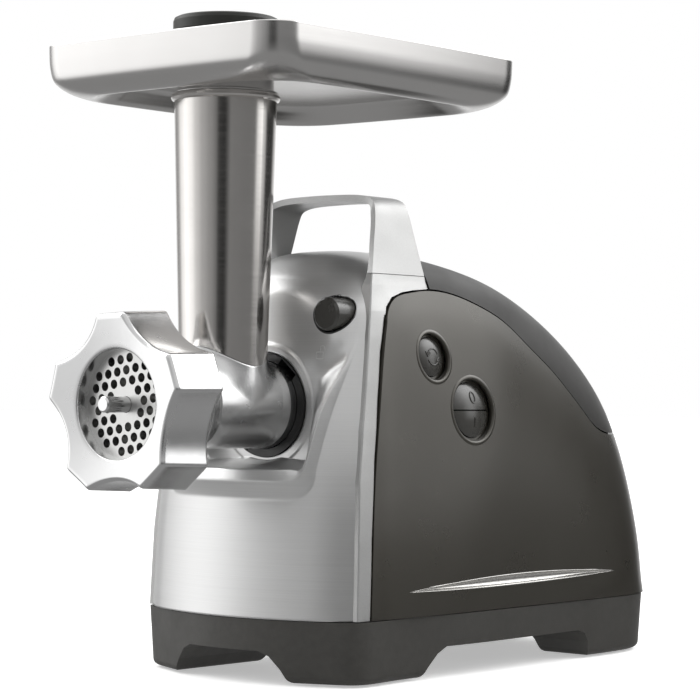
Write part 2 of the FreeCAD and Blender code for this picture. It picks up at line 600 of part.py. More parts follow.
idle = gear(12, 1.25, 60, 79, IDLER_X, IDLER_Z, TH1 + math.pi + math.pi / 12)
idle = idle.fuse(gear(72, 1.0, 79, 90, IDLER_X, IDLER_Z, TH2))
idle = idle.cut(cyl(4.06, 40, 100, IDLER_X, IDLER_Z))
PARTS["idler_gear"] = only(idle)
PARTS["idler_shaft"] = cyl(4.0, 55.0, 98.0, IDLER_X, IDLER_Z)
pin = gear(12, 1.0, 79.5, 92, MOTOR_X, MOTOR_Z, TH2 + math.pi + math.pi / 12)
PARTS["motor_pinion"] = only(pin.cut(cyl(3.0, 70, 100, MOTOR_X, MOTOR_Z)))
PARTS["rotor_shaft"] = cyl(3.0, 79.5, 118, MOTOR_X, MOTOR_Z).fuse(cyl(4.5, 118, 208, MOTOR_X, MOTOR_Z)).fuse(cyl(3.0, 208, 222, MOTOR_X, MOTOR_Z))


# gearbox: case with a wall, cover plate in front, bushes
def outline(grow, y0, y1):
    a = cyl(50 + grow, y0, y1)
    b = cyl(43 + grow, y0, y1, IDLER_X, IDLER_Z)
    return a.fuse(b)


case = outline(3, 56.0, 101).cut(outline(0, 50, 97.0))
case = case.cut(cyl(13.0, 90, 110)).cut(cyl(6.5, 90, 110, IDLER_X, IDLER_Z)).cut(cyl(9.0, 90, 110, MOTOR_X, MOTOR_Z))
cover = outline(3, 52.0, 55.9).cut(cyl(18.0, 40, 60)).cut(cyl(6.5, 40, 60, IDLER_X, IDLER_Z))
keep = box(-66, 62, 40, 110, 45, 205)
case, cover = case.common(keep), cover.common(keep)
SCR = [(math.cos(math.radians(a)) * 51.2, AX_Z + math.sin(math.radians(a)) * 51.2) for a in (20, 90, 160)]
SCR += [(IDLER_X + math.cos(math.radians(a)) * 44.2, IDLER_Z + math.sin(math.radians(a)) * 44.2) for a in (-20, -90, -150)]
screws = []
for x, z in SCR:
    boss = cyl(4.5, 56.0, 80, x, z).cut(outline(0.0, 50, 97.0).common(cyl(6, 50, 90, x, z)))
    case = case.fuse(boss)
for x, z in SCR:
    case = case.cut(cyl(1.5, 40, 74, x, z))
    cover = cover.fuse(cyl(4.5, 52.0, 55.9, x, z))
    cover = cover.cut(cyl(1.7, 40, 60, x, z))
    screws.append(cyl(3.2, 49.8, 51.95, x, z).fuse(cyl(1.45, 51.9, 72, x, z)))
PARTS["gearbox_case"], PARTS["gearbox_cover"] = only(case), only(cover)
PARTS["gearbox_screws"] = Part.makeCompound(screws)
PARTS["shaft_bushes"] = Part.makeCompound([
    cyl(17.9, 52.0, 55.9).cut(cyl(15.56, 40, 60)),
    cyl(12.9, 97.1, 101).cut(cyl(11.05, 90, 110)),
    cyl(6.4, 52.0, 56.0, IDLER_X, IDLER_Z).cut(cyl(4.05, 40, 60, IDLER_X, IDLER_Z)),
    cyl(6.4, 97.0, 101, IDLER_X, IDLER_Z).cut(cyl(4.05, 90, 110, IDLER_X, IDLER_Z))])

# ------------------------------------------------------------------ motor
mx, mz = MOTOR_X, MOTOR_Z
stator = box(mx - 35, mx + 35, 128, 172, mz - 36, mz + 36)
stator = stator.common(cyl(41, 120, 180, mx, mz)).cut(cyl(23.0, 120, 180, mx, mz))
for s in (1, -1):
    stator = stator.cut(box(mx + s * 13 - 8 if s > 0 else mx - 21, mx + 21 if s > 0 else mx - 5, 120, 180, mz + 14, mz + 28).common(cyl(29, 120, 180, mx, mz)))
    stator = stator.cut(box(mx + 5 if s > 0 else mx - 21, mx + 21 if s > 0 else mx - 5, 120, 180, mz - 28, mz - 14).common(cyl(29, 120, 180, mx, mz)))
PARTS["motor_stator"] = only(stator)
coils = []
for s in (1, -1):
    zc = mz + s * 27
    for yy in ((116, 127.6), (172.4, 184)):
        coils.append(box(mx - 22, mx + 22, yy[0], yy[1], min(zc, zc + s * 7), max(zc, zc + s * 7)))
PARTS["stator_coils"] = Part.makeCompound(coils)
PARTS["rotor_core"] = cyl(22.3, 128, 172, mx, mz).cut(cyl(4.5, 100, 200, mx, mz))
PARTS["commutator"] = cyl(12.5, 186, 204, mx, mz).cut(cyl(4.5, 100, 220, mx, mz))
fan = cyl(10, 106, 114, mx, mz)
for k in range(12):
    blade = box(mx + 9, mx + 33, 105.5, 114, mz - 0.7, mz + 0.7)
    blade.rotate(V(mx, 0, mz), V(0, 1, 0), 30 * k)
    fan = fan.fuse(blade)
fan = fan.fuse(cyl(33, 113, 114.4, mx, mz)).cut(cyl(3.0, 90, 130, mx, mz))
PARTS["motor_fan"] = only(fan)
PARTS["motor_bearings"] = Part.makeCompound([cyl(8.9, 97.2, 101, mx, mz).cut(cyl(3.05, 90, 110, mx, mz)),
                                             cyl(7.9, 212.1, 218.9, mx, mz).cut(cyl(3.05, 200, 230, mx, mz))])
rear_b = box(mx - 40, mx + 40, 212, 219, mz - 12, mz + 12).cut(cyl(8.0, 200, 230, mx, mz))
for s in (1, -1):
    rear_b = rear_b.fuse(box(mx + s * 37.6 - 2.4, mx + s * 37.6 + 2.4, 135, 219, mz - 8, mz + 8))
PARTS["motor_bracket"] = only(rear_b)
cradle = box(mx - 26, mx + 26, 136, 164, 19.8, mz - 30).cut(box(mx - 35.2, mx + 35.2, 120, 180, mz - 36.2, mz))
for k in (-1, 1):
    cradle = cradle.cut(box(mx + k * 12 - 8, mx + k * 12 + 8, 130, 170, 24, mz - 42))
PARTS["motor_cradle"] = only(cradle)
hold, carb = [], []
for s in (1, -1):
    h = box(mx + min(s * 14, s * 34), mx + max(s * 14, s * 34), 189, 201, mz - 5, mz + 5)
    h = h.cut(box(mx + min(s * 10, s * 32), mx + max(s * 10, s * 32), 191.5, 198.5, mz - 3.2, mz + 3.2))
    hold.append(h)
    carb.append(box(mx + min(s * 12.7, s * 28), mx + max(s * 12.7, s * 28), 191.6, 198.4, mz - 3.1, mz + 3.1))
PARTS["brush_holders"] = Part.makeCompound(hold)
PARTS["carbon_brushes"] = Part.makeCompound(carb)

# ------------------------------------------------------------------ controls
def lean_cut(shape, x0, slope, z0):
    """trim the outer end of a side button so that its face follows the leaning panel"""
    return shape.common(prism_y([(20, z0 - 40), (x0 + 40 * slope, z0 - 40), (x0 - 40 * slope, z0 + 40), (20, z0 + 40)], 0, 300))


def pillow(shape, x0, slope, y0, z0, radius):
    """round the outer end of a side button to a shallow dome that leans with the panel"""
    m = math.hypot(1, slope)
    return shape.common(Part.makeSphere(radius, V(x0 - radius / m, y0, z0 - radius * slope / m)))


rev = pillow(cylx(10.3, 59.0, 75, REV_Y, REV_Z), 65.6, 0.174, REV_Y, REV_Z, 24).fuse(cylx(12.4, 57.4, 59.2, REV_Y, REV_Z))
PARTS["reverse_button"] = only(rev)
half = pillow(cylx(14.7, 62.0, 80, SW_Y, SW_Z), 71.8, 0.14, SW_Y, SW_Z, 36).fuse(cylx(16.6, 60.4, 62.2, SW_Y, SW_Z))
up = half.common(box(0, 90, SW_Y - 40, SW_Y + 40, SW_Z + 0.35, SW_Z + 40))
dn = half.common(box(0, 90, SW_Y - 40, SW_Y + 40, SW_Z - 40, SW_Z - 0.35))
PARTS["off_button"], PARTS["on_button"] = only(up), only(dn)
bz1 = lean_cut(cylx(12.85, 59.7, 70, REV_Y, REV_Z).cut(cylx(10.7, 50, 80, REV_Y, REV_Z)), 62.4, 0.174, REV_Z)
bz2 = lean_cut(cylx(17.15, 62.7, 75, SW_Y, SW_Z).cut(cylx(15.1, 50, 80, SW_Y, SW_Z)), 68.0, 0.14, SW_Z)
PARTS["button_bezels"] = Part.makeCompound([only(bz1), only(bz2)])
blk = box(55.4, 56.8, 106, 138, 129, 172).fuse(box(50.4, 55.6, 102.5, 126, 131, 160))
blk = blk.fuse(box(52.6, 54.0, 84, 110, 160, 178)).fuse(box(52.6, 56.8, 106, 110, 160, 172))
PARTS["switch_board"] = only(blk)
RX, RZ = 42.0, 190.0
rel = rev_y([(0, 32.0), (7.4, 32.0), (8.7, 33.2), (8.7, 52.5), (10.4, 52.5), (10.4, 54.0), (0, 54.0)], RX, RZ)
PARTS["release_button"] = rel
PARTS["release_plunger"] = rev_y([(0, 54.0), (2.5, 54.0), (2.5, 60), (1.5, 62), (0, 62)], RX, RZ)

for name in sorted(PARTS):
    s = PARTS[name].copy()
    s.translate(V(0, -Y0, 0))
    b = s.BoundBox
    print("%-16s solids %d valid %s vol %.0f  x %.1f %.1f y %.1f %.1f z %.1f %.1f" % (
        name, len(s.Solids), s.isValid(), s.Volume, b.XMin, b.XMax, b.YMin, b.YMax, b.ZMin, b.ZMax))
    s.exportStep("parts/%s.step" % name)
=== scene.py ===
import math

import bpy
import bmesh
import numpy as np
from mathutils import Matrix, Vector


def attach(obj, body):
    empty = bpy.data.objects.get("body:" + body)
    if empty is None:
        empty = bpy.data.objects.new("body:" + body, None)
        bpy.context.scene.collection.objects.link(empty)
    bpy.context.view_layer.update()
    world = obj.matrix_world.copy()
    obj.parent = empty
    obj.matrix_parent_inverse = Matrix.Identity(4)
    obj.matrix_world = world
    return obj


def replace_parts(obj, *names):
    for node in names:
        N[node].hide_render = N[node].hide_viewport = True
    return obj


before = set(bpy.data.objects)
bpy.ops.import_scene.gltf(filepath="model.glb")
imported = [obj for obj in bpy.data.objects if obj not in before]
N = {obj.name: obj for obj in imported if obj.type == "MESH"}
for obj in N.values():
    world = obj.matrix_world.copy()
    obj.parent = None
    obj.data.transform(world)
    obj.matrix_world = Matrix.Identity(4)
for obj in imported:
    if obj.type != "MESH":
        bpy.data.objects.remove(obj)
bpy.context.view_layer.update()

SC = bpy.context.scene
Y0 = 113.42                     # the part's y is centred; its drawings put y = 0 on the feed tube


# ------------------------------------------------------------------ materials
class Mat:
    """A node material built step by step: every surface gets its own grain, tone drift and gloss."""

    def __init__(self, name, color, rough=0.4, metal=0.0, **socket):
        self.m = bpy.data.materials.new(name)
        self.m.use_nodes = True
        self.t = self.m.node_tree
        self.b = self.t.nodes["Principled BSDF"]
        self.color = color
        self.rough = rough
        self.b.inputs["Base Color"].default_value = (*color, 1)
        self.b.inputs["Roughness"].default_value = rough
        self.b.inputs["Metallic"].default_value = metal
        for k, v in socket.items():
            self.b.inputs[k.replace("_", " ")].default_value = v
        self.tc = self.t.nodes.new("ShaderNodeTexCoord")
        self.last_normal = None

    def node(self, kind, **kw):
        n = self.t.nodes.new(kind)
        for k, v in kw.items():
            setattr(n, k, v)
        return n

    def link(self, a, b):
        self.t.links.new(a, b)

    def mapped(self, scale, rot=(0, 0, 0)):
        mp = self.node("ShaderNodeMapping")
        mp.inputs["Scale"].default_value = scale
        mp.inputs["Rotation"].default_value = rot
        self.link(self.tc.outputs["Object"], mp.inputs["Vector"])
        return mp.outputs["Vector"]

    def noise(self, scale, detail=3.0, rough=0.55, stretch=(1, 1, 1), rot=(0, 0, 0), distortion=0.0):
        n = self.node("ShaderNodeTexNoise")
        n.inputs["Scale"].default_value = scale
        n.inputs["Detail"].default_value = detail
        n.inputs["Roughness"].default_value = rough
        n.inputs["Distortion"].default_value = distortion
        self.link(self.mapped(stretch, rot), n.inputs["Vector"])
        return n.outputs["Fac"]

    def voronoi(self, scale, stretch=(1, 1, 1)):
        n = self.node("ShaderNodeTexVoronoi")
        n.inputs["Scale"].default_value = scale
        self.link(self.mapped(stretch), n.inputs["Vector"])
        return n.outputs["Distance"]

    def ramp(self, fac, lo, hi, p0=0.3, p1=0.7):
        r = self.node("ShaderNodeValToRGB")
        r.color_ramp.elements[0].position = p0
        r.color_ramp.elements[1].position = p1
        r.color_ramp.elements[0].color = (*lo, 1)
        r.color_ramp.elements[1].color = (*hi, 1)
        self.link(fac, r.inputs["Fac"])
        return r.outputs["Color"]

    def span(self, fac, lo, hi, p0=0.3, p1=0.7):
        r = self.node("ShaderNodeMapRange")
        r.inputs["From Min"].default_value = p0
        r.inputs["From Max"].default_value = p1
        r.inputs["To Min"].default_value = lo
        r.inputs["To Max"].default_value = hi
        self.link(fac, r.inputs["Value"])
        return r.outputs["Result"]

    def tone(self, fac, amount=0.08, p0=0.3, p1=0.7):
        c = self.color
        lo = tuple(max(0, v * (1 - amount)) for v in c)
        hi = tuple(min(1, v * (1 + amount)) for v in c)
        self.link(self.ramp(fac, lo, hi, p0, p1), self.b.inputs["Base Color"])
        return self

    def gloss(self, fac, amount=0.06, p0=0.3, p1=0.7):
        self.link(self.span(fac, max(0.02, self.rough - amount), min(1, self.rough + amount), p0, p1), self.b.inputs["Roughness"])
        return self

    def bump(self, fac, strength, distance):
        n = self.node("ShaderNodeBump")
        n.inputs["Strength"].default_value = strength
        n.inputs["Distance"].default_value = distance
        self.link(fac, n.inputs["Height"])
        if self.last_normal is not None:
            self.link(self.last_normal, n.inputs["Normal"])
        self.last_normal = n.outputs["Normal"]
        self.link(self.last_normal, self.b.inputs["Normal"])
        return self


def put(mat, *names):
    for n in names:
        o = N[n]
        o.data.materials.clear()
        o.data.materials.append(mat.m)


# silver lacquer on the trim bands and the handle
m = silver = Mat("silver_lacquer", (0.34, 0.34, 0.337), 0.38, 0.62, Coat_Weight=0.2, Coat_Roughness=0.2)
m.tone(m.noise(1400, 2, 0.6), 0.04).gloss(m.noise(45, 4, 0.6), 0.05).bump(m.noise(900, 2, 0.5), 0.06, 0.0002)

# front apron: fine horizontal grain
m = front = Mat("front_grain", (0.615, 0.615, 0.612), 0.355, 0.85, Coat_Weight=0.08, Coat_Roughness=0.25)
g = m.noise(60, 5, 0.65, (0.25, 0.25, 46))
m.tone(g, 0.045).gloss(g, 0.05).bump(g, 0.04, 0.0002).bump(m.noise(700, 2, 0.5), 0.03, 0.0002)

# glossy dark taupe side panels
m = panel = Mat("dark_gloss", (0.0405, 0.0372, 0.0300), 0.30, 0.5, Coat_Weight=0.35, Coat_Roughness=0.10)
m.tone(m.noise(900, 2, 0.6), 0.04).gloss(m.noise(30, 4, 0.6), 0.04).bump(m.noise(420, 3, 0.5), 0.004, 0.0002)

# spine cover: the same colour, a shade deeper
m = spine = Mat("spine_gloss", (0.0145, 0.0136, 0.0122), 0.42, 0.0, Coat_Weight=0.06, Coat_Roughness=0.2, Specular_IOR_Level=0.22)
m.tone(m.noise(2400, 2, 0.6), 0.12).gloss(m.noise(30, 4, 0.6), 0.05).bump(m.noise(420, 3, 0.5), 0.010, 0.0002)

# moulded base, fine matt grain
m = base = Mat("base_grain", (0.036, 0.0345, 0.031), 0.46, 0.0, Specular_IOR_Level=0.4)
m.tone(m.noise(220, 4, 0.6), 0.10).gloss(m.noise(60, 4, 0.6), 0.06).bump(m.noise(1500, 2, 0.5), 0.16, 0.0003)

m = black = Mat("black_moulded", (0.012, 0.012, 0.012), 0.38)
m.tone(m.noise(260, 4, 0.6), 0.2).gloss(m.noise(80, 4, 0.6), 0.07).bump(m.noise(1300, 2, 0.5), 0.10, 0.0002)

m = button = Mat("button_satin", (0.030, 0.029, 0.026), 0.26, 0.0, Coat_Weight=0.3, Coat_Roughness=0.15)
m.tone(m.noise(500, 3, 0.6), 0.08).gloss(m.noise(60, 4, 0.6), 0.06).bump(m.noise(1100, 2, 0.5), 0.06, 0.0002)

m = pusher = Mat("pusher_grain", (0.024, 0.0245, 0.022), 0.44, Specular_IOR_Level=0.32)
m.tone(m.noise(240, 4, 0.6), 0.10).gloss(m.noise(70, 4, 0.6), 0.07).bump(m.noise(1200, 2, 0.5), 0.12, 0.0003)

# polished stainless tube: hairlines run round it, faint smears
m = tube = Mat("steel_polished", (0.64, 0.62, 0.60), 0.17, 1.0)
h = m.noise(30, 4, 0.6, (0.6, 0.6, 60))
m.tone(m.noise(24, 4, 0.6), 0.05).gloss(h, 0.05).bump(h, 0.03, 0.0001)

# satin stainless tray: drawn sheet with a fine grain along its length
m = tray = Mat("steel_satin", (0.62, 0.61, 0.60), 0.24, 1.0)
h = m.noise(34, 4, 0.6, (0.8, 0.8, 70))
m.tone(m.noise(18, 4, 0.6), 0.025).gloss(h, 0.02).bump(h, 0.0012, 0.0001)

# tumbled and polished aluminium castings
m = cast = Mat("alu_polished", (0.70, 0.70, 0.70), 0.25, 1.0)
m.tone(m.noise(40, 5, 0.65), 0.025).gloss(m.noise(60, 4, 0.65), 0.04).bump(m.noise(900, 2, 0.5), 0.012, 0.0001)

m = plate = Mat("steel_ground", (0.62, 0.62, 0.61), 0.36, 1.0)
h = m.noise(60, 4, 0.6, (30, 1, 1))
m.tone(m.noise(50, 4, 0.6), 0.04).gloss(h, 0.05).bump(h, 0.02, 0.0001)

m = steel = Mat("steel_machined", (0.50, 0.50, 0.50), 0.32, 1.0)
m.tone(m.noise(120, 4, 0.6), 0.12).gloss(m.noise(200, 4, 0.6), 0.08).bump(m.noise(400, 3, 0.6), 0.05, 0.0002)

m = nylon = Mat("nylon_greased", (0.70, 0.67, 0.56), 0.36, Subsurface_Weight=0.05)
m.tone(m.noise(60, 4, 0.6), 0.10).gloss(m.noise(50, 4, 0.6), 0.10).bump(m.noise(300, 3, 0.5), 0.05, 0.0003)

m = iron = Mat("core_laminated", (0.10, 0.10, 0.105), 0.5, 0.8)
h = m.noise(60, 2, 0.5, (0.4, 22, 0.4))
m.tone(h, 0.35).gloss(h, 0.10).bump(h, 0.3, 0.0003)

m = copper = Mat("copper_winding", (0.42, 0.15, 0.06), 0.30, 1.0)
h = m.noise(70, 2, 0.5, (16, 0.6, 16))
m.tone(h, 0.35).gloss(h, 0.08).bump(h, 0.5, 0.0005)

m = bronze = Mat("bronze_sintered", (0.40, 0.27, 0.11), 0.42, 1.0)
m.tone(m.noise(500, 3, 0.6), 0.18).gloss(m.noise(300, 3, 0.6), 0.10).bump(m.noise(900, 2, 0.5), 0.12, 0.0002)

# the grip lines are lacquered silver-grey inside
m = line_gloss = Mat("line_gloss", (0.50, 0.49, 0.47), 0.24, 0.9, Coat_Weight=0.2, Coat_Roughness=0.1)
m.tone(m.noise(600, 3, 0.6), 0.08).gloss(m.noise(60, 4, 0.6), 0.05).bump(m.noise(900, 2, 0.5), 0.02, 0.0001)

m = carbon = Mat("carbon_pressed", (0.02, 0.02, 0.021), 0.5, 0.2)
m.tone(m.noise(700, 3, 0.6), 0.3).gloss(m.noise(300, 3, 0.6), 0.10).bump(m.noise(900, 2, 0.5), 0.15, 0.0002)

m = rubber = Mat("rubber_matt", (0.018, 0.018, 0.018), 0.75)
m.tone(m.noise(300, 4, 0.6), 0.2).gloss(m.noise(120, 4, 0.6), 0.08).bump(m.noise(900, 3, 0.5), 0.2, 0.0003)

m = board = Mat("board_laminate", (0.03, 0.11, 0.05), 0.4)
m.tone(m.voronoi(420), 0.25, 0.0, 0.6).gloss(m.noise(120, 4, 0.6), 0.08).bump(m.noise(600, 3, 0.5), 0.08, 0.0002)

m = case = Mat("case_moulded", (0.17, 0.17, 0.175), 0.5)
m.tone(m.noise(180, 4, 0.6), 0.12).gloss(m.noise(60, 4, 0.6), 0.08).bump(m.noise(1200, 2, 0.5), 0.12, 0.0002)

put(base, "base_tray")
put(rubber, "rubber_feet", "cord_gland")
put(front, "front_shell")
put(silver, "right_trim", "left_trim", "carry_handle")
put(panel, "right_shell", "left_shell", "button_bezels")
put(spine, "spine_cover")
put(black, "socket_ring", "release_plunger", "motor_fan")
put(button, "release_button", "reverse_button", "off_button", "on_button")
put(pusher, "pusher")
put(tube, "feed_tube")
put(tray, "feed_tray")
put(cast, "head_casting", "ring_nut", "auger")
put(plate, "hole_plate", "knife")
put(steel, "base_screws", "gearbox_screws", "idler_shaft", "motor_bracket", "rotor_shaft", "motor_pinion")
put(nylon, "output_gear", "drive_coupling", "idler_gear", "auger_bush")
put(iron, "motor_stator", "rotor_core")
put(copper, "stator_coils", "commutator")
put(bronze, "shaft_bushes", "motor_bearings", "brush_holders")
put(carbon, "carbon_brushes")
put(board, "switch_board")
put(case, "gearbox_case", "gearbox_cover", "motor_cradle")


# ------------------------------------------------------------------ mesh helpers
def mm(x, y, z):
    """a point of the part's drawings, in millimetres, in the row frame"""
    return (x / 1000.0, (y - Y0) / 1000.0, z / 1000.0)


def mesh(name, verts, faces, mat, body, smooth=True, sharp=None):
    me = bpy.data.meshes.new(name)
    me.from_pydata([tuple(map(float, q)) for q in verts], [], [tuple(int(i) for i in f) for f in faces])
    me.validate()
    me.update()
    me.materials.append(mat.m)
    o = bpy.data.objects.new(name, me)
    SC.collection.objects.link(o)
    for f in me.polygons:
        f.use_smooth = smooth
    if sharp:
        bm = bmesh.new()
        bm.from_mesh(me)
        for e in bm.edges:
            if len(e.link_faces) == 2 and e.calc_face_angle(0) > math.radians(sharp):
                e.smooth = False
        bm.to_mesh(me)
        bm.free()
    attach(o, body)
    return o


def fix_normals(o):
    bm = bmesh.new()
    bm.from_mesh(o.data)
    bmesh.ops.recalc_face_normals(bm, faces=bm.faces)
    bm.to_mesh(o.data)
    bm.free()
    return o


# ------------------------------------------------------------------ front shell
FRONT = np.array([  # centre (y, z), edge (x, y, z), bottom to top
    (-2.0, 33.6, 73.8, 20.8, 33.6), (1.0, 75, 72.8, 22.5, 75), (4.0, 104, 70.8, 25, 104), (8.5, 130, 68.3, 30, 130),
    (14.5, 155, 64.8, 36.6, 155), (22.0, 178, 60.8, 43, 178), (29.5, 196, 57, 47.2, 191), (43, 213, 49.4, 55, 203),
    (60, 223, 45.6, 66, 212), (80, 226, 44.4, 80, 216.5), (100.9, 226, 43.8, 100.9, 218)])


def row(t):
    t = np.asarray(t, float)
    k = np.clip(t.astype(int), 0, len(FRONT) - 2)
    w = (t - k)[..., None]
    p1, p2 = FRONT[k], FRONT[k + 1]
    p0 = np.where((k > 0)[..., None], FRONT[np.maximum(k - 1, 0)], 2 * p1 - p2)
    p3 = np.where((k + 2 < len(FRONT))[..., None], FRONT[np.minimum(k + 2, len(FRONT) - 1)], 2 * p2 - p1)
    m1, m2 = (p2 - p0) / 2, (p3 - p1) / 2
    return (2 * w**3 - 3 * w**2 + 1) * p1 + (w**3 - 2 * w**2 + w) * m1 + (-2 * w**3 + 3 * w**2) * p2 + (w**3 - w**2) * m2


def skin(t, f):
    q = row(t)
    g = 2.0 + 0.6 * np.clip((np.asarray(t) - 5) / 2.0, 0, 1)
    a = np.abs(f) ** g
    edge = 3.8 * np.clip((np.abs(f) - 0.70) / 0.30, 0, 1.2) ** 2 * sstep(7.5, 5.5, np.asarray(t, float))     # rolls in towards the trim
    return np.stack([q[..., 2] * f, q[..., 0] + (q[..., 3] - q[..., 0]) * a + edge, q[..., 1] + (q[..., 4] - q[..., 1]) * a], -1)


def at_xz(x, z):
    """(t, f) of the front skin at a point given by x and z"""
    x, z = np.broadcast_arrays(np.asarray(x, float), np.asarray(z, float))
    lo, hi = np.zeros(x.shape), np.full(x.shape, 8.6)
    for _ in range(44):
        t = (lo + hi) / 2
        f = np.clip(x / row(t)[..., 2], -1.06, 1.06)
        up = skin(t, f)[..., 2] > z
        hi, lo = np.where(up, t, hi), np.where(up, lo, t)
    return t, f


def skin_y(x, z):
    return skin(*at_xz(x, z))[..., 1]


def smooth_line(pts, n, rounds=30):
    """closed line through pts, resampled to n equal steps and smoothed"""
    q = np.array(pts + pts[:1], float)
    d = np.concatenate([[0], np.cumsum(np.linalg.norm(np.diff(q, axis=0), axis=1))])
    s = np.linspace(0, d[-1], n, endpoint=False)
    c = np.stack([np.interp(s, d, q[:, 0]), np.interp(s, d, q[:, 1])], 1)
    for _ in range(rounds):
        c = 0.5 * c + 0.25 * (np.roll(c, 1, 0) + np.roll(c, -1, 0))
    return c


def sstep(a, b, x):
    t = np.clip((np.asarray(x, float) - a) / (b - a), 0, 1)
    return t * t * (3 - 2 * t)


FLOOR_Y = 34.0
AX = (0.0, 142.5)
REL = (42.0, 190.0)


SURF = []


def surf_y(x, z):
    """depth of the front cover near a point, from its own mesh"""
    q = SURF[0]
    d = (q[:, 0] - x) ** 2 + (q[:, 1] - z) ** 2
    k = np.argpartition(d, 6)[:6]
    w = 1 / (d[k] + 0.02)
    return float((q[k, 2] * w).sum() / w.sum())


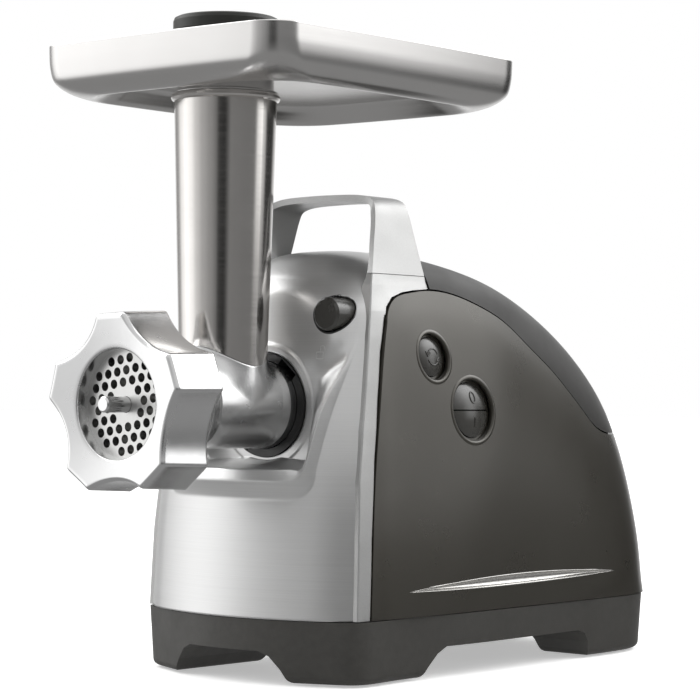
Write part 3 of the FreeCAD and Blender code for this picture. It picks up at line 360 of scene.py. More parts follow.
def make_front():
    n = 640
    half = [(0, 104), (20, 104), (36, 104), (42.5, 104.6), (46.5, 106.8), (48.6, 111), (49.4, 117), (50.2, 125), (51.0, 133), (51.8, 142),
            (53.2, 154), (54.4, 166), (54.4, 177), (51.8, 188), (45, 198), (34, 204.5), (18, 208.5)]
    line = half + [(0, 209.6)] + [(-x, z) for x, z in reversed(half[1:])]
    c = smooth_line(line, n, 22)
    tan = np.roll(c, -1, 0) - np.roll(c, 1, 0)
    nrm = np.stack([tan[:, 1], -tan[:, 0]], 1)
    nrm /= np.linalg.norm(nrm, axis=1)[:, None]
    if ((c - np.array(AX)) * nrm).sum() < 0:
        nrm = -nrm
    down = np.clip(-nrm[:, 1], 0, 1) * sstep(122, 108, c[:, 1])      # 1 along the bottom, 0 up the sides
    proud = 5.4 * sstep(172, 136, c[:, 1])
    foot = 2.2 + 8.4 * down**2
    ledge = 1.4 + 4.2 * down**2
    rings = []

    def ring(q, y):
        p = c + nrm * np.asarray(q)[..., None] if np.ndim(q) else c + nrm * q
        rings.append((p[:, 0], p[:, 1], y(p[:, 0], p[:, 1])))
    base_y = skin_y(c[:, 0], c[:, 1])
    crest = base_y - proud

    def floor_at(x, z):
        s_ = skin_y(x, z)
        return (FLOOR_Y + s_ + np.sqrt((FLOOR_Y - s_) ** 2 + 2.5**2)) / 2
    over = sstep(160, 184, c[:, 1])          # 1 above, where there is no rim
    # rows from the apron up the outer wall, over the ledge and down into the pocket
    for w, h in ((1.0, 0.0), (0.93, 0.015), (0.86, 0.06), (0.78, 0.145), (0.66, 0.29), (0.5, 0.48), (0.34, 0.67), (0.22, 0.815), (0.13, 0.915),
                 (0.06, 0.975), (0.0, 1.0)):
        ring(foot * w, lambda x, z, h=h: (skin_y(x, z) * (1 - h) + crest * h) * (1 - over) + (skin_y(x, z) * (1 - h) + floor_at(x, z) * h) * over)
    back = (0.25 + 1.5 * down**2) * sstep(176, 150, c[:, 1])
    for f in (0.12, 0.3, 0.5, 0.7, 0.88, 1.0):
        ring(-ledge * f, lambda x, z, f=f: (crest + back * f) * (1 - over) + floor_at(x, z) * over)
    x0, z0 = rings[-1][0], rings[-1][1]
    edge = rings[-1][2]
    ang = np.arctan2(z0 - AX[1], x0 - AX[0])
    hole = 27.75
    last = np.hypot(x0 - AX[0], z0 - AX[1])
    reach = 6.0 + 12.0 * sstep(112, 135, z0) + 16.0 * sstep(138, 175, z0)
    high = over
    soft = sstep(108, 125, z0)
    for k in range(1, 47):
        f = (k / 46.0) ** 1.25
        r_ = last + (hole - last) * f
        x, z = AX[0] + r_ * np.cos(ang), AX[1] + r_ * np.sin(ang)
        fade = 0.35 + 0.65 * sstep(-0.6, 0.5, np.sin(ang) - 0.4 * np.cos(ang))
        w = np.clip((last - r_) / np.minimum(reach, (last - hole) * 0.8), 0, 1)
        w = w * w * (3 - 2 * w) * (0.6 + 0.4 * soft) + 0.4 * (1 - soft) * (1 - (1 - w) ** 3)
        e_ = floor_at(x, z)
        y = (edge + (e_ - edge) * w) * (1 - high) + e_ * high - 1.3 * fade * sstep(33.4, 31.6, r_)
        rings.append((x, z, y))
    # rows from the lip's foot out to the edge of the shell, in the skin's own coordinates
    t0, f0 = at_xz(rings[0][0], rings[0][1])
    tc = 3.7
    dt, df = t0 - tc, f0
    with np.errstate(divide="ignore"):
        k = np.minimum(np.where(dt > 0, (10.0 - tc) / np.maximum(dt, 1e-9), tc / np.maximum(-dt, 1e-9)), 1.0 / np.maximum(np.abs(df), 1e-9))
    tb, fb = tc + dt * k, df * k
    for tt in (0.0, 10.0):
        for ff in (-1.0, 1.0):
            i = np.argmin(((tb - tt) / 10) ** 2 + (fb - ff) ** 2)
            tb[i], fb[i] = tt, ff
    outer = []
    m = 70
    for j in range(m, 0, -1):
        w = (j / m) ** 1.15
        t_, f_ = np.clip(t0 + (tb - t0) * w, 0, 10), np.clip(f0 + (fb - f0) * w, -1, 1)
        q = skin(t_, f_)
        outer.append((q[:, 0], q[:, 2], q[:, 1]))
    rows_ = outer + rings
    v = np.array([np.stack(q, 1) for q in rows_])          # row, around, (x, z, y)
    nr = len(rows_)
    keep = np.ones((nr, n), bool)
    # opening for the release button, its rim snapped to a true circle
    d = np.hypot(v[..., 0] - REL[0], v[..., 1] - REL[1])
    front_side = v[..., 2] < 70
    R = 9.9
    cen = (v[:-1] + np.roll(v, -1, 1)[:-1] + v[1:] + np.roll(v, -1, 1)[1:]) / 4
    dead = (np.hypot(cen[..., 0] - REL[0], cen[..., 1] - REL[1]) < R) & (cen[..., 2] < 70)
    used = np.zeros((nr, n), int)
    for a_, b_ in ((0, 0), (0, 1), (1, 0), (1, 1)):
        tmp = np.zeros((nr, n), int)
        tmp[a_:nr - 1 + a_, :] += np.roll(dead, b_, 1)
        used += tmp
    rim = (used > 0) & (used < 4)
    ri, ci = np.where(rim)
    for i, j in zip(ri, ci):
        q = v[i, j]
        w = np.array([q[0] - REL[0], q[1] - REL[1]])
        w *= R / max(np.linalg.norm(w), 1e-6)
        v[i, j, 0], v[i, j, 1] = REL[0] + w[0], REL[1] + w[1]
    SURF.append(v.reshape(-1, 3)[v.reshape(-1, 3)[:, 2] < 70])
    verts = [mm(q[0], q[2], q[1]) for q in v.reshape(-1, 3)]
    faces = []
    for i in range(nr - 1):
        for j in range(n):
            if not dead[i, j]:
                j2 = (j + 1) % n
                faces.append((i * n + j, i * n + j2, (i + 1) * n + j2, (i + 1) * n + j))
    o = mesh("front_cover", verts, faces, front, "housing")
    bm = bmesh.new()
    bm.from_mesh(o.data)
    loose = [w for w in bm.verts if not w.link_faces]
    bmesh.ops.delete(bm, geom=loose, context="VERTS")
    bm.to_mesh(o.data)
    bm.free()
    # outward is towards -y on the apron
    me = o.data
    if sum(f.normal.y * f.area for f in me.polygons) > 0:
        me.flip_normals()
    so = o.modifiers.new("wall", "SOLIDIFY")
    so.thickness = 0.0016
    so.offset = -1
    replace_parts(o, "front_shell")
    return o


make_front()


# ------------------------------------------------------------------ small pieces
def grid_faces(nr, n, close_rows=False):
    f = []
    for i in range(nr if close_rows else nr - 1):
        i2 = (i + 1) % nr
        for j in range(n):
            j2 = (j + 1) % n
            f.append((i * n + j, i * n + j2, i2 * n + j2, i2 * n + j))
    return f


def make_well():
    """liner and rim of the opening round the release button, following the cover; it is coloured black as painted
    shade of the recess
    """
    n = 96
    rows_ = []
    for r_, dy in ((10.45, 0.5), (10.4, -0.15), (10.2, -0.42), (9.8, -0.45), (9.45, -0.2), (9.3, 0.4), (9.25, 6.0), (9.25, 13.0), (10.45, 13.0), (10.45, 6.0)):
        q = []
        for k in range(n):
            a = 2 * math.pi * k / n
            y = surf_y(REL[0] + 10.6 * math.cos(a), REL[1] + 10.6 * math.sin(a))
            q.append(mm(REL[0] + r_ * math.cos(a), y + dy, REL[1] + r_ * math.sin(a)))
        rows_ += q
    # the black on this liner is painted shade: it stands in for the shade inside the recess round the button
    o = mesh("release_well", rows_, grid_faces(10, n, True), black, "housing", sharp=50)
    return fix_normals(o)


def make_nut():
    """ring nut with its edges rounded"""
    def outline(tip, half, dip, n=420):
        pts = []
        for k in range(5):
            c, nx = math.radians(93.1 + 72 * k), math.radians(93.1 + 72 * (k + 1))

            def at(r_, side, a):
                return np.array([r_ * math.cos(a) - side * math.sin(a), r_ * math.sin(a) + side * math.cos(a)])
            a_, b_, m_ = at(tip, half, c), at(tip, -half, nx), at(dip, 0, c + math.radians(36))
            pts += [at(tip, -half + 2 * half * q, c) for q in np.linspace(0, 1, 14)[:-1]]
            d = np.array([[b_[0] - a_[0], b_[1] - a_[1]], [m_[0] - a_[0], m_[1] - a_[1]]])
            cen = np.linalg.solve(2 * d, np.array([(b_**2 - a_**2).sum(), (m_**2 - a_**2).sum()]))
            t0, t1 = math.atan2(*(a_ - cen)[::-1]), math.atan2(*(b_ - cen)[::-1])
            tm = math.atan2(*(m_ - cen)[::-1])
            while t0 - tm > math.pi:
                t0 -= 2 * math.pi
            while tm - t0 > math.pi:
                t0 += 2 * math.pi
            while t1 - tm > math.pi:
                t1 -= 2 * math.pi
            while tm - t1 > math.pi:
                t1 += 2 * math.pi
            rr = np.linalg.norm(a_ - cen)
            pts += [cen + rr * np.array([math.cos(q), math.sin(q)]) for q in np.linspace(t0, t1, 30)[:-1]]
        return smooth_line([tuple(q) for q in pts], n, 5)
    big = outline(46.9, 9.9, 39.0)
    th = np.arctan2(big[:, 1], big[:, 0])
    n = len(big)

    def section(d):
        w = np.clip((d - 1.7) / 30.2, -0.06, 1)
        f = (45.45 + 1.45 * w) / 46.9
        return big * f

    def shrink(q, e):
        t_ = np.roll(q, -1, 0) - np.roll(q, 1, 0)
        m_ = np.stack([t_[:, 1], -t_[:, 0]], 1)
        m_ /= np.linalg.norm(m_, axis=1)[:, None]
        if (m_ * q).sum() < 0:
            m_ = -m_
        return q - m_ * e

    def face_d(q):
        return 3.4 * np.clip((46 - np.linalg.norm(q, axis=1)) / 18.5, 0, 1)
    rows_ = []

    def add(q, d):
        d = np.broadcast_to(d, (n,))
        rows_.append([mm(q[k, 0], -80.3 + d[k], 142.5 + q[k, 1]) for k in range(n)])

    def circle(r_):
        return np.stack([r_ * np.cos(th), r_ * np.sin(th)], 1)
    add(circle(34.6), 31.85)
    add(circle(34.6), 20.0)
    add(circle(34.6), 10.42)
    add(circle(27.55), 10.42)
    add(circle(27.55), 7.0)
    add(circle(27.55), 4.4)
    for a in (0, 30, 60, 90):
        e = math.radians(a)
        add(circle(27.55 + 0.9 * (1 - math.cos(e))), 3.4 + 0.9 * (1 - math.sin(e)) - 0.12 * math.sin(e))
    r0 = 2.4
    top = shrink(section(0.0), r0)
    ring0 = circle(28.45)
    for k in range(1, 15):
        f = k / 15.0
        q = ring0 + (top - ring0) * f
        add(q, face_d(q))
    d0 = face_d(top)
    for a in (0, 12, 25, 38, 52, 66, 78, 90):
        e = math.radians(a)
        q = shrink(section(0.0 + r0 * (1 - math.cos(e))), r0 * (1 - math.sin(e)))
        add(q, d0 + r0 * (1 - math.cos(e)))
    for d in (6.0, 10.0, 15.0, 20.0, 25.0, 29.0):
        add(section(d), d)
    for a in (0, 30, 60, 90):
        e = math.radians(a)
        add(shrink(section(31.9), 1.6 * (1 - math.cos(e))), 31.85 - 1.6 * (1 - math.sin(e)))
    m_ = len(rows_)
    o = mesh("nut_body", [q for r_ in rows_ for q in r_], grid_faces(m_, n, True), cast, "nut", sharp=48)
    fix_normals(o)
    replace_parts(o, "ring_nut")
    return o


def bead(name, pts, rad, mat, body, closed=False, axis=(1, 0, 0), k=10):
    """round bead along a line, millimetres; half of it stands out of the face it lies on"""
    p_ = np.array(pts, float)
    m_ = len(p_)
    if closed:
        tan = np.roll(p_, -1, 0) - np.roll(p_, 1, 0)
    else:
        tan = np.gradient(p_, axis=0)
    tan /= np.linalg.norm(tan, axis=1)[:, None]
    up = np.array(axis, float)
    side = np.cross(tan, up)
    side /= np.linalg.norm(side, axis=1)[:, None]
    up2 = np.cross(side, tan)
    verts, faces = [], []
    for i in range(m_):
        for j in range(k):
            a = 2 * math.pi * j / k
            q = p_[i] + rad * (math.cos(a) * side[i] + math.sin(a) * up2[i])
            verts.append(mm(*q))
    for i in range(m_ if closed else m_ - 1):
        i2 = (i + 1) % m_
        for j in range(k):
            j2 = (j + 1) % k
            faces.append((i * k + j, i * k + j2, i2 * k + j2, i2 * k + j))
    if not closed:
        faces.append(tuple(range(k)))
        faces.append(tuple((m_ - 1) * k + j for j in range(k)))
    return fix_normals(mesh(name, verts, faces, mat, body, sharp=60))


def dome(x0, slope, y0, z0, radius, y, z):
    """point on the domed face of a side button"""
    m_ = math.hypot(1, slope)
    h_ = z - (z0 - radius * slope / m_)
    return (x0 - radius / m_ + math.sqrt(radius**2 - (y - y0) ** 2 - h_**2) + 0.05, y, z)


def make_signs():
    def rev(y, z):
        return dome(65.6, 0.174, 92.5, 168.7, 24, y, z)

    def sw(y, z):
        return dome(71.8, 0.14, 120.5, 140.6, 36, y, z)
    for i, (a0, a1) in enumerate(((20, 165), (200, 345))):
        q = [rev(92.5 + 4.3 * math.cos(math.radians(a)), 168.7 + 4.3 * math.sin(math.radians(a))) for a in np.linspace(a0, a1, 22)]
        bead("turn_sign_%d" % i, q, 0.42, button, "reverse")
        e = math.radians(a1)
        y, z = 92.5 + 4.3 * math.cos(e), 168.7 + 4.3 * math.sin(e)
        t_ = (-math.sin(e), math.cos(e))
        r_ = (math.cos(e), math.sin(e))
        v_ = [rev(y - 1.5 * t_[0] + s_ * 1.5 * r_[0], z - 1.5 * t_[1] + s_ * 1.5 * r_[1]) for s_ in (1, -1)]
        tip = rev(y + 0.9 * t_[0], z + 0.9 * t_[1])
        line = [tuple(np.array(v_[0]) + (np.array(tip) - np.array(v_[0])) * f) for f in (0, 0.33, 0.66, 1)]
        line += [tuple(np.array(tip) + (np.array(v_[1]) - np.array(tip)) * f) for f in (0.33, 0.66, 1)]
        bead("turn_head_%d" % i, line, 0.42, button, "reverse")
    q = [sw(120.5 + 1.9 * math.cos(a), 147.4 + 2.9 * math.sin(a)) for a in np.linspace(0, 2 * math.pi, 36, endpoint=False)]
    bead("zero_sign", q, 0.45, button, "switch_off", closed=True)
    bead("one_sign", [sw(120.5, z) for z in np.linspace(131.6, 136.8, 8)], 0.45, button, "switch_on")
    # small lock sign under the release button
    x0, z0 = 36.5, 166.6
    def on(x, z):
        return (x, surf_y(x, z) + 0.02, z)
    q = []
    for a_, b_ in (((-2.2, 0), (2.2, 0)), ((2.2, 0), (2.2, 3.6)), ((2.2, 3.6), (-2.2, 3.6)), ((-2.2, 3.6), (-2.2, 0))):
        for f in np.linspace(0, 1, 8)[:-1]:
            q.append(on(x0 + a_[0] + (b_[0] - a_[0]) * f, z0 + a_[1] + (b_[1] - a_[1]) * f))
    bead("lock_sign", q, 0.24, front, "housing", closed=True, axis=(0, -1, 0), k=8)
    q = [on(x0 + 1.9 - 1.5 * math.cos(a), z0 + 5.4 + 1.5 * math.sin(a)) for a in np.linspace(0, math.pi, 14)]
    q = [on(x0 + 0.4, z0 + 3.6), on(x0 + 0.4, z0 + 4.5)] + q + [on(x0 + 3.4, z0 + 4.9)]
    bead("lock_bow", q, 0.24, front, "housing", axis=(0, -1, 0), k=8)


def shell_x(node, sg):
    """x of a side panel's outer face as a function of y and z"""
    from mathutils.bvhtree import BVHTree
    ob = N[node]
    mw = ob.matrix_world
    bv = BVHTree.FromPolygons([mw @ q.co for q in ob.data.vertices], [tuple(f.vertices) for f in ob.data.polygons])

    def face_x(y, z):
        h = bv.ray_cast(Vector((sg * 0.2, (y - Y0) / 1000, z / 1000)), Vector((-sg, 0, 0)))
        return h[0].x * 1000 if h[0] is not None else sg * 76.9
    return face_x


def make_grooves():
    """lipped liners of the long lens grooves low on both panels"""
    for sg, node in ((1, "right_shell"), (-1, "left_shell")):
        face_x = shell_x(node, sg)
        m_, k_ = 120, 33
        verts, faces = [], []
        for i in range(m_ + 1):
            f = -1 + 2 * i / m_
            f = math.sin(f * math.pi / 2) * 0.997
            up, dn = 4.3 * (1 - f * f) + 0.1, 1.9 * (1 - f * f) + 0.1
            y, zl = 155.7 + 95.2 * f, 47.7 + 1.0 * f
            lo, hi = face_x(y, zl - dn - 0.3), face_x(y, zl + up + 0.3)
            full = min(1.0, (up + dn) / 3.0)
            for j in range(k_):
                w = -1 + 2 * j / (k_ - 1)
                e = abs(w)
                rim = 0.24 if w > 0 else 0.32
                if e > 1 - rim:
                    out = 0.42 * math.sin(math.pi * (1 - e) / rim) ** 0.8 if e < 1 else 0.0
                else:
                    out = -1.35 * (1 - (e / (1 - rim)) ** 2) ** 0.8
                z = zl + (up + dn) / 2 * w + (up - dn) / 2
                verts.append(mm(lo + (hi - lo) * (w + 1) / 2 + sg * (out * full - 0.03), y, z))
        for i in range(m_):
            for j in range(k_ - 1):
                faces.append((i * k_ + j, i * k_ + j + 1, (i + 1) * k_ + j + 1, (i + 1) * k_ + j))
        o = mesh("grip_line_%s" % ("right" if sg > 0 else "left"), verts, faces, line_gloss, "housing")
        if sum(q.normal.x * q.area for q in o.data.polygons) * sg < 0:
            o.data.flip_normals()
        so = o.modifiers.new("wall", "SOLIDIFY")
        so.thickness = 0.0004
        so.offset = -1


def make_lips():
    """rolled edges of the two button openings in the right panel"""
    face_x = shell_x("right_shell", 1)
    for name, y0, z0, r0 in (("reverse_lip", 92.5, 168.7, 13.0), ("switch_lip", 120.5, 140.6, 17.3)):
        n, rows_ = 144, []
        prof = [(1.9, -0.12), (1.3, 0.16), (0.8, 0.34), (0.3, 0.42), (-0.2, 0.34), (-0.6, 0.08), (-0.85, -0.35), (-0.95, -0.9), (-0.95, -2.4),
                (0.05, -2.4), (0.1, -0.9), (0.9, -0.6), (1.6, -0.5)]
        for dr, dx in prof:
            for k in range(n):
                a = 2 * math.pi * k / n
                x = face_x(y0 + (r0 + 1.0) * math.cos(a), z0 + (r0 + 1.0) * math.sin(a))
                x1 = face_x(y0 + (r0 + 2.4) * math.cos(a), z0 + (r0 + 2.4) * math.sin(a))
                rows_.append(mm(x + (x1 - x) * (dr - 1.0) / 1.4 + dx, y0 + (r0 + dr) * math.cos(a), z0 + (r0 + dr) * math.sin(a)))
        fix_normals(mesh(name, rows_, grid_faces(len(prof), n, True), panel, "housing"))


def make_saddle():
    """skin of the casting: the barrel with a rounded fillet where the upright boss runs into it"""
    prof = np.array([(-66, 34.2), (-44, 34.2), (-40.5, 33), (-33, 27), (-27, 23.4), (-24, 22.5), (22, 22.5), (27, 23.0), (48, 23.0)])
    na, ny = 420, 240
    a = np.radians(np.linspace(-90, 270, na, endpoint=False))[:, None]
    y = np.linspace(-42, 27.5, ny)[None, :]
    r1 = np.interp(y, prof[:, 0], prof[:, 1]) + 0.25
    up = np.sin(a)
    k = 0.05 + 9.0 * sstep(-0.02, 0.8, up)
    top = 30.15
    rr = np.zeros((na, ny))
    for r_ in np.arange(19.0, 35.0, 0.03):
        x, h = r_ * np.cos(a), r_ * up
        d1 = r_ - r1 + 0 * h
        d2 = np.where((up > 0) & (r_ <= top), np.hypot(x, y) - 22.7, 99.0)
        m_ = np.clip(0.5 + 0.5 * (d2 - d1) / k, 0, 1)
        d = d2 * (1 - m_) + d1 * m_ - k * m_ * (1 - m_)
        rr = np.where(d <= 0, r_, rr)
    verts = [mm(rr[i, j] * math.cos(a[i, 0]), y[0, j], 142.5 + rr[i, j] * math.sin(a[i, 0])) for i in range(na) for j in range(ny)]
    faces = [(i * ny + j, (i + 1) % na * ny + j, (i + 1) % na * ny + j + 1, i * ny + j + 1) for i in range(na) for j in range(ny - 1)]
    o = mesh("head_skin", verts, faces, cast, "head", sharp=60)
    if sum(q.normal.z * q.area * (q.center.z - 0.1425) for q in o.data.polygons) < 0:
        o.data.flip_normals()
    so = o.modifiers.new("wall", "SOLIDIFY")
    so.thickness = 0.0004
    so.offset = -1


def make_trims():
    """silver bands between the front shell and the side panels, level with both"""
    hoop = np.array([(74, 33.6), (73.78, 44), (73.45, 58), (73, 75), (72.2, 89), (71, 104), (68.5, 130), (65, 155), (61, 178), (58, 192), (54, 206),
                     (50, 218)])
    front_y = np.array([(33, 22.1), (75, 23.8), (104, 26.3), (130, 31.3), (155, 37.9), (178, 44.3), (192, 48.9), (206, 54.6), (218, 60.5)])
    rear = np.array([(32.3, 29.6), (34.5, 75), (39, 115), (44.8, 146), (51.2, 171), (57.6, 187), (61.5, 194.5), (68, 199.6), (78, 202.6), (88, 204),
                     (101, 205.1)])
    zs = np.concatenate([np.linspace(33.75, 186, 90), np.linspace(186.5, 205.2, 90), np.linspace(205.4, 211.75, 14)])
    for sg, node, name in ((1, "right_shell", "right"), (-1, "left_shell", "left")):
        face_x = shell_x(node, sg)
        cols = 41
        outer, inner, faces = [], [], []
        for z in zs:
            xh = np.interp(z, hoop[:, 1], hoop[:, 0])
            yf = np.interp(z, front_y[:, 0], front_y[:, 1])
            yp = np.interp(z, rear[:, 1], rear[:, 0]) - 0.25 if z < 205.1 else 100.9
            yp = min(yp, 100.9)
            xp = abs(face_x(np.interp(min(z, 186), rear[:, 1], rear[:, 0]) + 1.6, min(z, 186))) - 0.15
            w = sstep(184, 211, z)
            lift = max(0.0, xp - np.interp(min(z, 186), hoop[:, 1], hoop[:, 0])) * (1 - w)
            for j in range(cols):
                q = j / (cols - 1)
                q = q - 0.13 * math.sin(2 * math.pi * q)
                y = yf + (yp - yf) * q
                d_ = min(y - yf, yp - y)
                near = np.interp(y, (yf, yf + 17), (0, 1))
                x = xh + lift * near - 0.45 * (1 - min(d_ / 1.0, 1)) ** 2 * (1 if z < 190 or y - yf < 5 else 0)
                outer.append(mm(sg * x, y, z))
                deep = 3.4 * sstep(186, 196, z) * (1 - sstep(203, 212, z)) + 0.7 * sstep(203, 212, z)
                inner.append(mm(sg * (xh - 3.2 - deep * max(0.0, 1 - (y - yf) / 6.0)), y, z))
        nz, m_ = len(zs), len(outer)
        for i in range(nz - 1):
            for j in range(cols - 1):
                q = (i * cols + j, i * cols + j + 1, (i + 1) * cols + j + 1, (i + 1) * cols + j)
                faces.append(q)
                faces.append(tuple(m_ + w_ for w_ in reversed(q)))
        ring_ = [j for j in range(cols)] + [i * cols + cols - 1 for i in range(1, nz)]
        ring_ += [(nz - 1) * cols + j for j in range(cols - 2, -1, -1)] + [i * cols for i in range(nz - 2, 0, -1)]
        for a_, b_ in zip(ring_, ring_[1:] + ring_[:1]):
            faces.append((b_, a_, m_ + a_, m_ + b_))
        o = mesh("%s_band" % name, outer + inner, faces, silver, "housing", sharp=40)
        fix_normals(o)
        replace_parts(o, "%s_trim" % name)


def pan_line(inset):
    """plan of the tray at one inset from its rim: four bowed sides and round corners, as radius over angle about the neck"""
    y0, y1, a0, bow = -56.8, 146.9, 87.0, 2.5
    yc = (y0 + y1) / 2
    a_, b_ = a0 - inset, (y1 - y0) / 2 - inset
    r1, r2 = (b_ * b_ + bow**2) / (2 * bow), (a_ * a_ + bow**2) / (2 * bow)
    r_ = 17.7 + 1.45 * min(max(inset, 0), 10.0)
    px, py = a_ - r1, b_ - r2
    d = math.hypot(px, py)
    h = ((r1 - r_) ** 2 - (r2 - r_) ** 2 + d * d) / (2 * d)
    w = math.sqrt(max((r1 - r_) ** 2 - h * h, 0))
    ux, uy = -px / d, py / d
    c = [(px + ux * h - q * uy * w, uy * h + q * ux * w) for q in (1, -1)]
    cx, cy = [q for q in c if q[0] > 0 and q[1] > 0][-1]
    k1, k2 = math.atan2(cy, cx - px), math.atan2(cy - py, cx)
    q = [(px + r1 * math.cos(t), r1 * math.sin(t)) for t in np.linspace(0, k1, 60)]
    q += [(cx + r_ * math.cos(t), cy + r_ * math.sin(t)) for t in np.linspace(k1, k2, 60)[1:]]
    q += [(r2 * math.cos(t), py + r2 * math.sin(t)) for t in np.linspace(k2, math.pi / 2, 60)[1:]]
    q = np.array(q)
    q = np.concatenate([q, (q * (-1, 1))[::-1][1:], -q[1:], (q * (1, -1))[::-1][1:-1]]) + (0, yc)
    ang = np.arctan2(q[:, 1], q[:, 0])
    o = np.argsort(ang)
    ang, rad = ang[o], np.hypot(q[:, 0], q[:, 1])[o]
    return np.concatenate([ang - 2 * math.pi, ang, ang + 2 * math.pi]), np.tile(rad, 3)


def make_tray():
    """pressed pan with upright walls, a gutter all round, a raised floor and its neck"""
    n, floor = 1200, 311.7
    th = np.linspace(-math.pi, math.pi, n, endpoint=False)
    walls = np.array([(0.0, 329.1), (0.07, 324.5), (0.27, 318.5), (1.1, 311.7), (2.8, 308.0), (5.4, 305.1), (8.0, 303.4), (10.5, 302.4), (13.0, 302.2),
                      (15.6, 303.7), (18.4, 306.4), (21.4, 309.4), (24.4, 311.2), (28.0, floor)])
    prof = []
    for k in range(len(walls) - 1):
        p1, p2 = walls[k], walls[k + 1]
        m1 = (p2 - walls[k - 1]) / 2 if k else p2 - p1
        m2 = (walls[k + 2] - p1) / 2 if k + 2 < len(walls) else np.array((p2[0] - p1[0], 0.0))
        for w in np.arange(0, 1, 0.2):
            prof.append((2 * w**3 - 3 * w**2 + 1) * p1 + (w**3 - 2 * w**2 + w) * m1 + (3 * w**2 - 2 * w**3) * p2 + (w**3 - w**2) * m2)
    prof = np.array(prof + [walls[-1]])
    tan = np.gradient(prof, axis=0)
    tan[-1] = (1, 0)
    tan /= np.linalg.norm(tan, axis=1)[:, None]
    inn = prof + np.stack([-tan[:, 1], tan[:, 0]], 1)
    line = {}

    def rim(inset):
        key = round(float(inset), 3)
        if key not in line:
            line[key] = np.interp(th, *pan_line(key))
        return line[key]
    rows_ = [(23.6, 287.0), (23.6, 300.0), (23.6, floor + 0.3), (23.9, floor + 0.8), (24.5, floor + 0.97)]
    rows_ = [(np.full(n, r_), z) for r_, z in rows_]
    end = rim(28.0)
    rows_ += [(27 + (end - 27) * w, floor + 0.98) for w in np.linspace(0, 1, 12)[:-1]]
    rows_ += [(rim(i), z) for i, z in inn[::-1] if z < 328.6]
    rows_ += [(rim(i), z) for i, z in ((1.0, 328.6), (0.93, 328.9), (0.75, 329.05), (0.5, 329.1), (0.25, 329.05), (0.07, 328.9), (0.0, 328.6))]
    rows_ += [(rim(i), z) for i, z in prof[1:]]
    rows_ += [(28.5 + (end - 28.5) * w, floor) for w in np.linspace(1, 0, 12)[1:]]
    rows_ += [(np.full(n, r_), z) for r_, z in ((25.0, floor - 0.1), (25.0, floor - 0.6), (25.2, 304.9), (25.4, 304.55), (26.9, 304.25), (27.2, 304.0), (27.2, 303.35),
                                               (27.0, 303.1), (24.6, 303.1), (24.6, 288.0), (24.3, 287.0))]
    verts = [mm(r_[k] * math.cos(th[k]), r_[k] * math.sin(th[k]), z) for r_, z in rows_ for k in range(n)]
    o = mesh("tray_pan", verts, grid_faces(len(rows_), n, True), tray, "tray", sharp=55)
    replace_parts(fix_normals(o), "feed_tray")


make_well()
make_nut()
make_tray()
make_saddle()
make_signs()
make_grooves()
make_lips()
make_trims()

# ------------------------------------------------------------------ camera
yaw, pitch, roll = math.radians(40.362), math.radians(0.962), math.radians(0.555)
v = Vector((-math.sin(yaw) * math.cos(pitch), math.cos(yaw) * math.cos(pitch), math.sin(pitch)))
r = Vector((math.cos(yaw), math.sin(yaw), 0))
u = r.cross(v)
r2 = r * math.cos(roll) + u * math.sin(roll)
u2 = -r * math.sin(roll) + u * math.cos(roll)
cam = bpy.data.cameras.new("camera")
cam.sensor_width = 36
cam.lens = 2438.83 / 700 * 36
cam.clip_start, cam.clip_end = 0.01, 60
co = bpy.data.objects.new("camera", cam)
SC.collection.objects.link(co)
mx = Matrix((r2, u2, -v)).transposed().to_4x4()
mx.translation = Vector(mm(867.305, -919.052, 150.277))
co.matrix_world = mx
SC.camera = co


# ------------------------------------------------------------------ studio
def area(name, loc, target, size, power, size_y=None, color=(1, 1, 1)):
    d = bpy.data.lights.new(name, "AREA")
    d.energy = power
    d.color = color
    d.shape = "RECTANGLE" if size_y else "SQUARE"
    d.size = size
    if size_y:
        d.size_y = size_y
    o = bpy.data.objects.new(name, d)
    o.location = loc
    o.rotation_euler = (Vector(target) - Vector(loc)).to_track_quat("-Z", "Y").to_euler()
    SC.collection.objects.link(o)
    return o


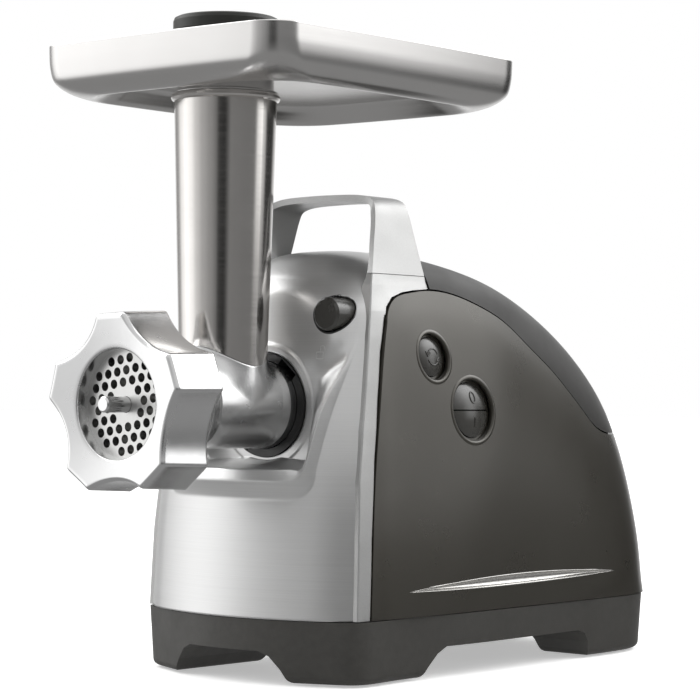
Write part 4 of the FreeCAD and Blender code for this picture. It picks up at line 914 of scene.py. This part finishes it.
def studio():
    SC.view_settings.view_transform = "Standard"
    w = bpy.data.worlds.new("studio")
    SC.world = w
    w.use_nodes = True
    t = w.node_tree
    bg = t.nodes["Background"]

    def nd(kind, **kw):
        n_ = t.nodes.new(kind)
        for k_, v_ in kw.items():
            setattr(n_, k_, v_)
        return n_

    def math_(op, a_, b_=None):
        n_ = nd("ShaderNodeMath", operation=op)
        for i_, q_ in enumerate((a_, b_)):
            if q_ is None:
                continue
            if isinstance(q_, (int, float)):
                n_.inputs[i_].default_value = q_
            else:
                t.links.new(q_, n_.inputs[i_])
        return n_.outputs[0]
    tc = nd("ShaderNodeTexCoord")
    sep = nd("ShaderNodeSeparateXYZ")
    t.links.new(tc.outputs["Generated"], sep.inputs[0])
    x, y, z = sep.outputs
    c_, s_ = math.cos(yaw), math.sin(yaw)
    toward = math_("SUBTRACT", math_("MULTIPLY", x, s_), math_("MULTIPLY", y, c_))
    right = math_("ADD", math_("MULTIPLY", x, c_), math_("MULTIPLY", y, s_))
    az = math_("ARCTAN2", right, toward)
    fac = math_("ADD", math_("DIVIDE", az, 2 * math.pi), 0.5)
    ring = nd("ShaderNodeValToRGB")
    ring.color_ramp.interpolation = "EASE"
    el = ring.color_ramp.elements
    stops = AZ
    el[0].position, el[1].position = 0.0, 1.0
    for k_, (deg, val) in enumerate(stops):
        pos = deg / 360.0 + 0.5
        e_ = el[0] if k_ == 0 else (el[-1] if k_ == len(stops) - 1 else el.new(pos))
        e_.position = pos
        q_ = val / 2.0
        e_.color = (q_, q_, q_, 1)
    t.links.new(fac, ring.inputs["Fac"])
    walls = math_("MULTIPLY", ring.outputs["Color"], 2.0)

    def mixv(f_, a_, b_):
        return math_("ADD", math_("MULTIPLY", math_("SUBTRACT", 1.0, f_), a_), math_("MULTIPLY", f_, b_))

    def ease(v_, lo, hi):
        n_ = nd("ShaderNodeMapRange", interpolation_type="SMOOTHSTEP")
        n_.inputs["From Min"].default_value = lo
        n_.inputs["From Max"].default_value = hi
        t.links.new(v_, n_.inputs["Value"])
        return n_.outputs["Result"]
    up = mixv(ease(z, TOP[0], TOP[1]), walls, TOP[2])
    ring2 = nd("ShaderNodeValToRGB")
    ring2.color_ramp.interpolation = "EASE"
    e2 = ring2.color_ramp.elements
    for k_, (deg, val) in enumerate(SIDE):
        pos = deg / 360.0 + 0.5
        e_ = e2[0] if k_ == 0 else (e2[-1] if k_ == len(SIDE) - 1 else e2.new(pos))
        e_.position = pos
        e_.color = (val, val, val, 1)
    t.links.new(fac, ring2.inputs["Fac"])
    band = math_("MULTIPLY", ease(z, 0.10, 0.62), math_("SUBTRACT", 1.0, math_("MULTIPLY", ease(z, 0.60, 0.84), 0.92)))
    up = math_("ADD", up, math_("MULTIPLY", math_("MULTIPLY", ring2.outputs["Color"], band), SIDE_LEVEL))
    ring3 = nd("ShaderNodeValToRGB")
    ring3.color_ramp.interpolation = "EASE"
    e3 = ring3.color_ramp.elements
    for k_, (deg, val) in enumerate(STRIP):
        pos = deg / 360.0 + 0.5
        e_ = e3[0] if k_ == 0 else (e3[-1] if k_ == len(STRIP) - 1 else e3.new(pos))
        e_.position = pos
        e_.color = (val, val, val, 1)
    t.links.new(fac, ring3.inputs["Fac"])
    tall = math_("MULTIPLY", ease(z, -0.01, 0.07), math_("SUBTRACT", 1.0, ease(z, 0.16, 0.4)))
    up = math_("ADD", up, math_("MULTIPLY", math_("MULTIPLY", ring3.outputs["Color"], tall), STRIP_LEVEL))
    low = ease(math_("MULTIPLY", z, -1.0), 0.10, 0.45)
    light = mixv(low, up, LOW)
    lp = nd("ShaderNodeLightPath")
    seen = mixv(lp.outputs["Is Camera Ray"], light, 1.0)
    t.links.new(seen, bg.inputs["Color"])
    bg.inputs["Strength"].default_value = 1.0
    me = bpy.data.meshes.new("floor")
    bm = bmesh.new()
    bmesh.ops.create_circle(bm, cap_ends=True, segments=96, radius=14)
    bm.to_mesh(me)
    bm.free()
    fl = bpy.data.objects.new("floor", me)
    SC.collection.objects.link(fl)
    f = Mat("floor_pale", (0.92, 0.92, 0.915), 0.7, Emission_Strength=0.42, Emission_Color=(1, 1, 1, 1))
    f.tone(f.noise(3, 2, 0.5), 0.01)
    me.materials.append(f.m)
    fl.visible_glossy = False

    def spot(deg, elev, dist):
        a_, e_ = math.radians(deg), math.radians(elev)
        tx, ty = math.sin(yaw), -math.cos(yaw)
        rx, ry = math.cos(yaw), math.sin(yaw)
        h_ = dist * math.cos(e_)
        return (h_ * (math.cos(a_) * tx + math.sin(a_) * rx), h_ * (math.cos(a_) * ty + math.sin(a_) * ry), 0.15 + dist * math.sin(e_))
    for name, deg, elev, dist, sx, sy, power in LIGHTS:
        area(name, spot(deg, elev, dist), (0, 0, 0.15), sx, power, sy)


# brightness of the studio walls by direction: degrees to the right of the camera, level
AZ = [(-180, 1.0), (-160, 0.9), (-147, 0.35), (-135, 0.5), (-118, 1.35), (-100, 1.75), (-84, 1.5), (-66, 0.85), (-50, 0.55), (-31, 0.38),
      (-19, 0.26), (-11, 0.05), (3, 0.03), (9, 0.12), (15, 0.27), (26, 0.24), (58, 0.22), (80, 0.2), (100, 0.2), (108, 0.12),
      (114, 0.04), (138, 0.05), (152, 0.6), (166, 1.0), (180, 1.0)]
TOP = (0.12, 0.55, 0.8)
LOW = 0.32
SIDE = [(-180, 0.0), (58, 0.0), (76, 0.35), (93, 1.0), (122, 1.0), (150, 0.4), (172, 0.0), (180, 0.0)]
SIDE_LEVEL = 3.6
STRIP = [(-180, 0.0), (74, 0.0), (86, 0.8), (93, 1.0), (101, 0.7), (112, 0.0), (180, 0.0)]
STRIP_LEVEL = 1.7
LIGHTS = [("right_soft", 95, 52, 2.0, 1.1, 1.1, 3), ("left_soft", -105, 40, 1.7, 1.3, 1.3, 15), ("top_soft", 20, 84, 2.0, 1.4, 1.4, 7)]

studio()
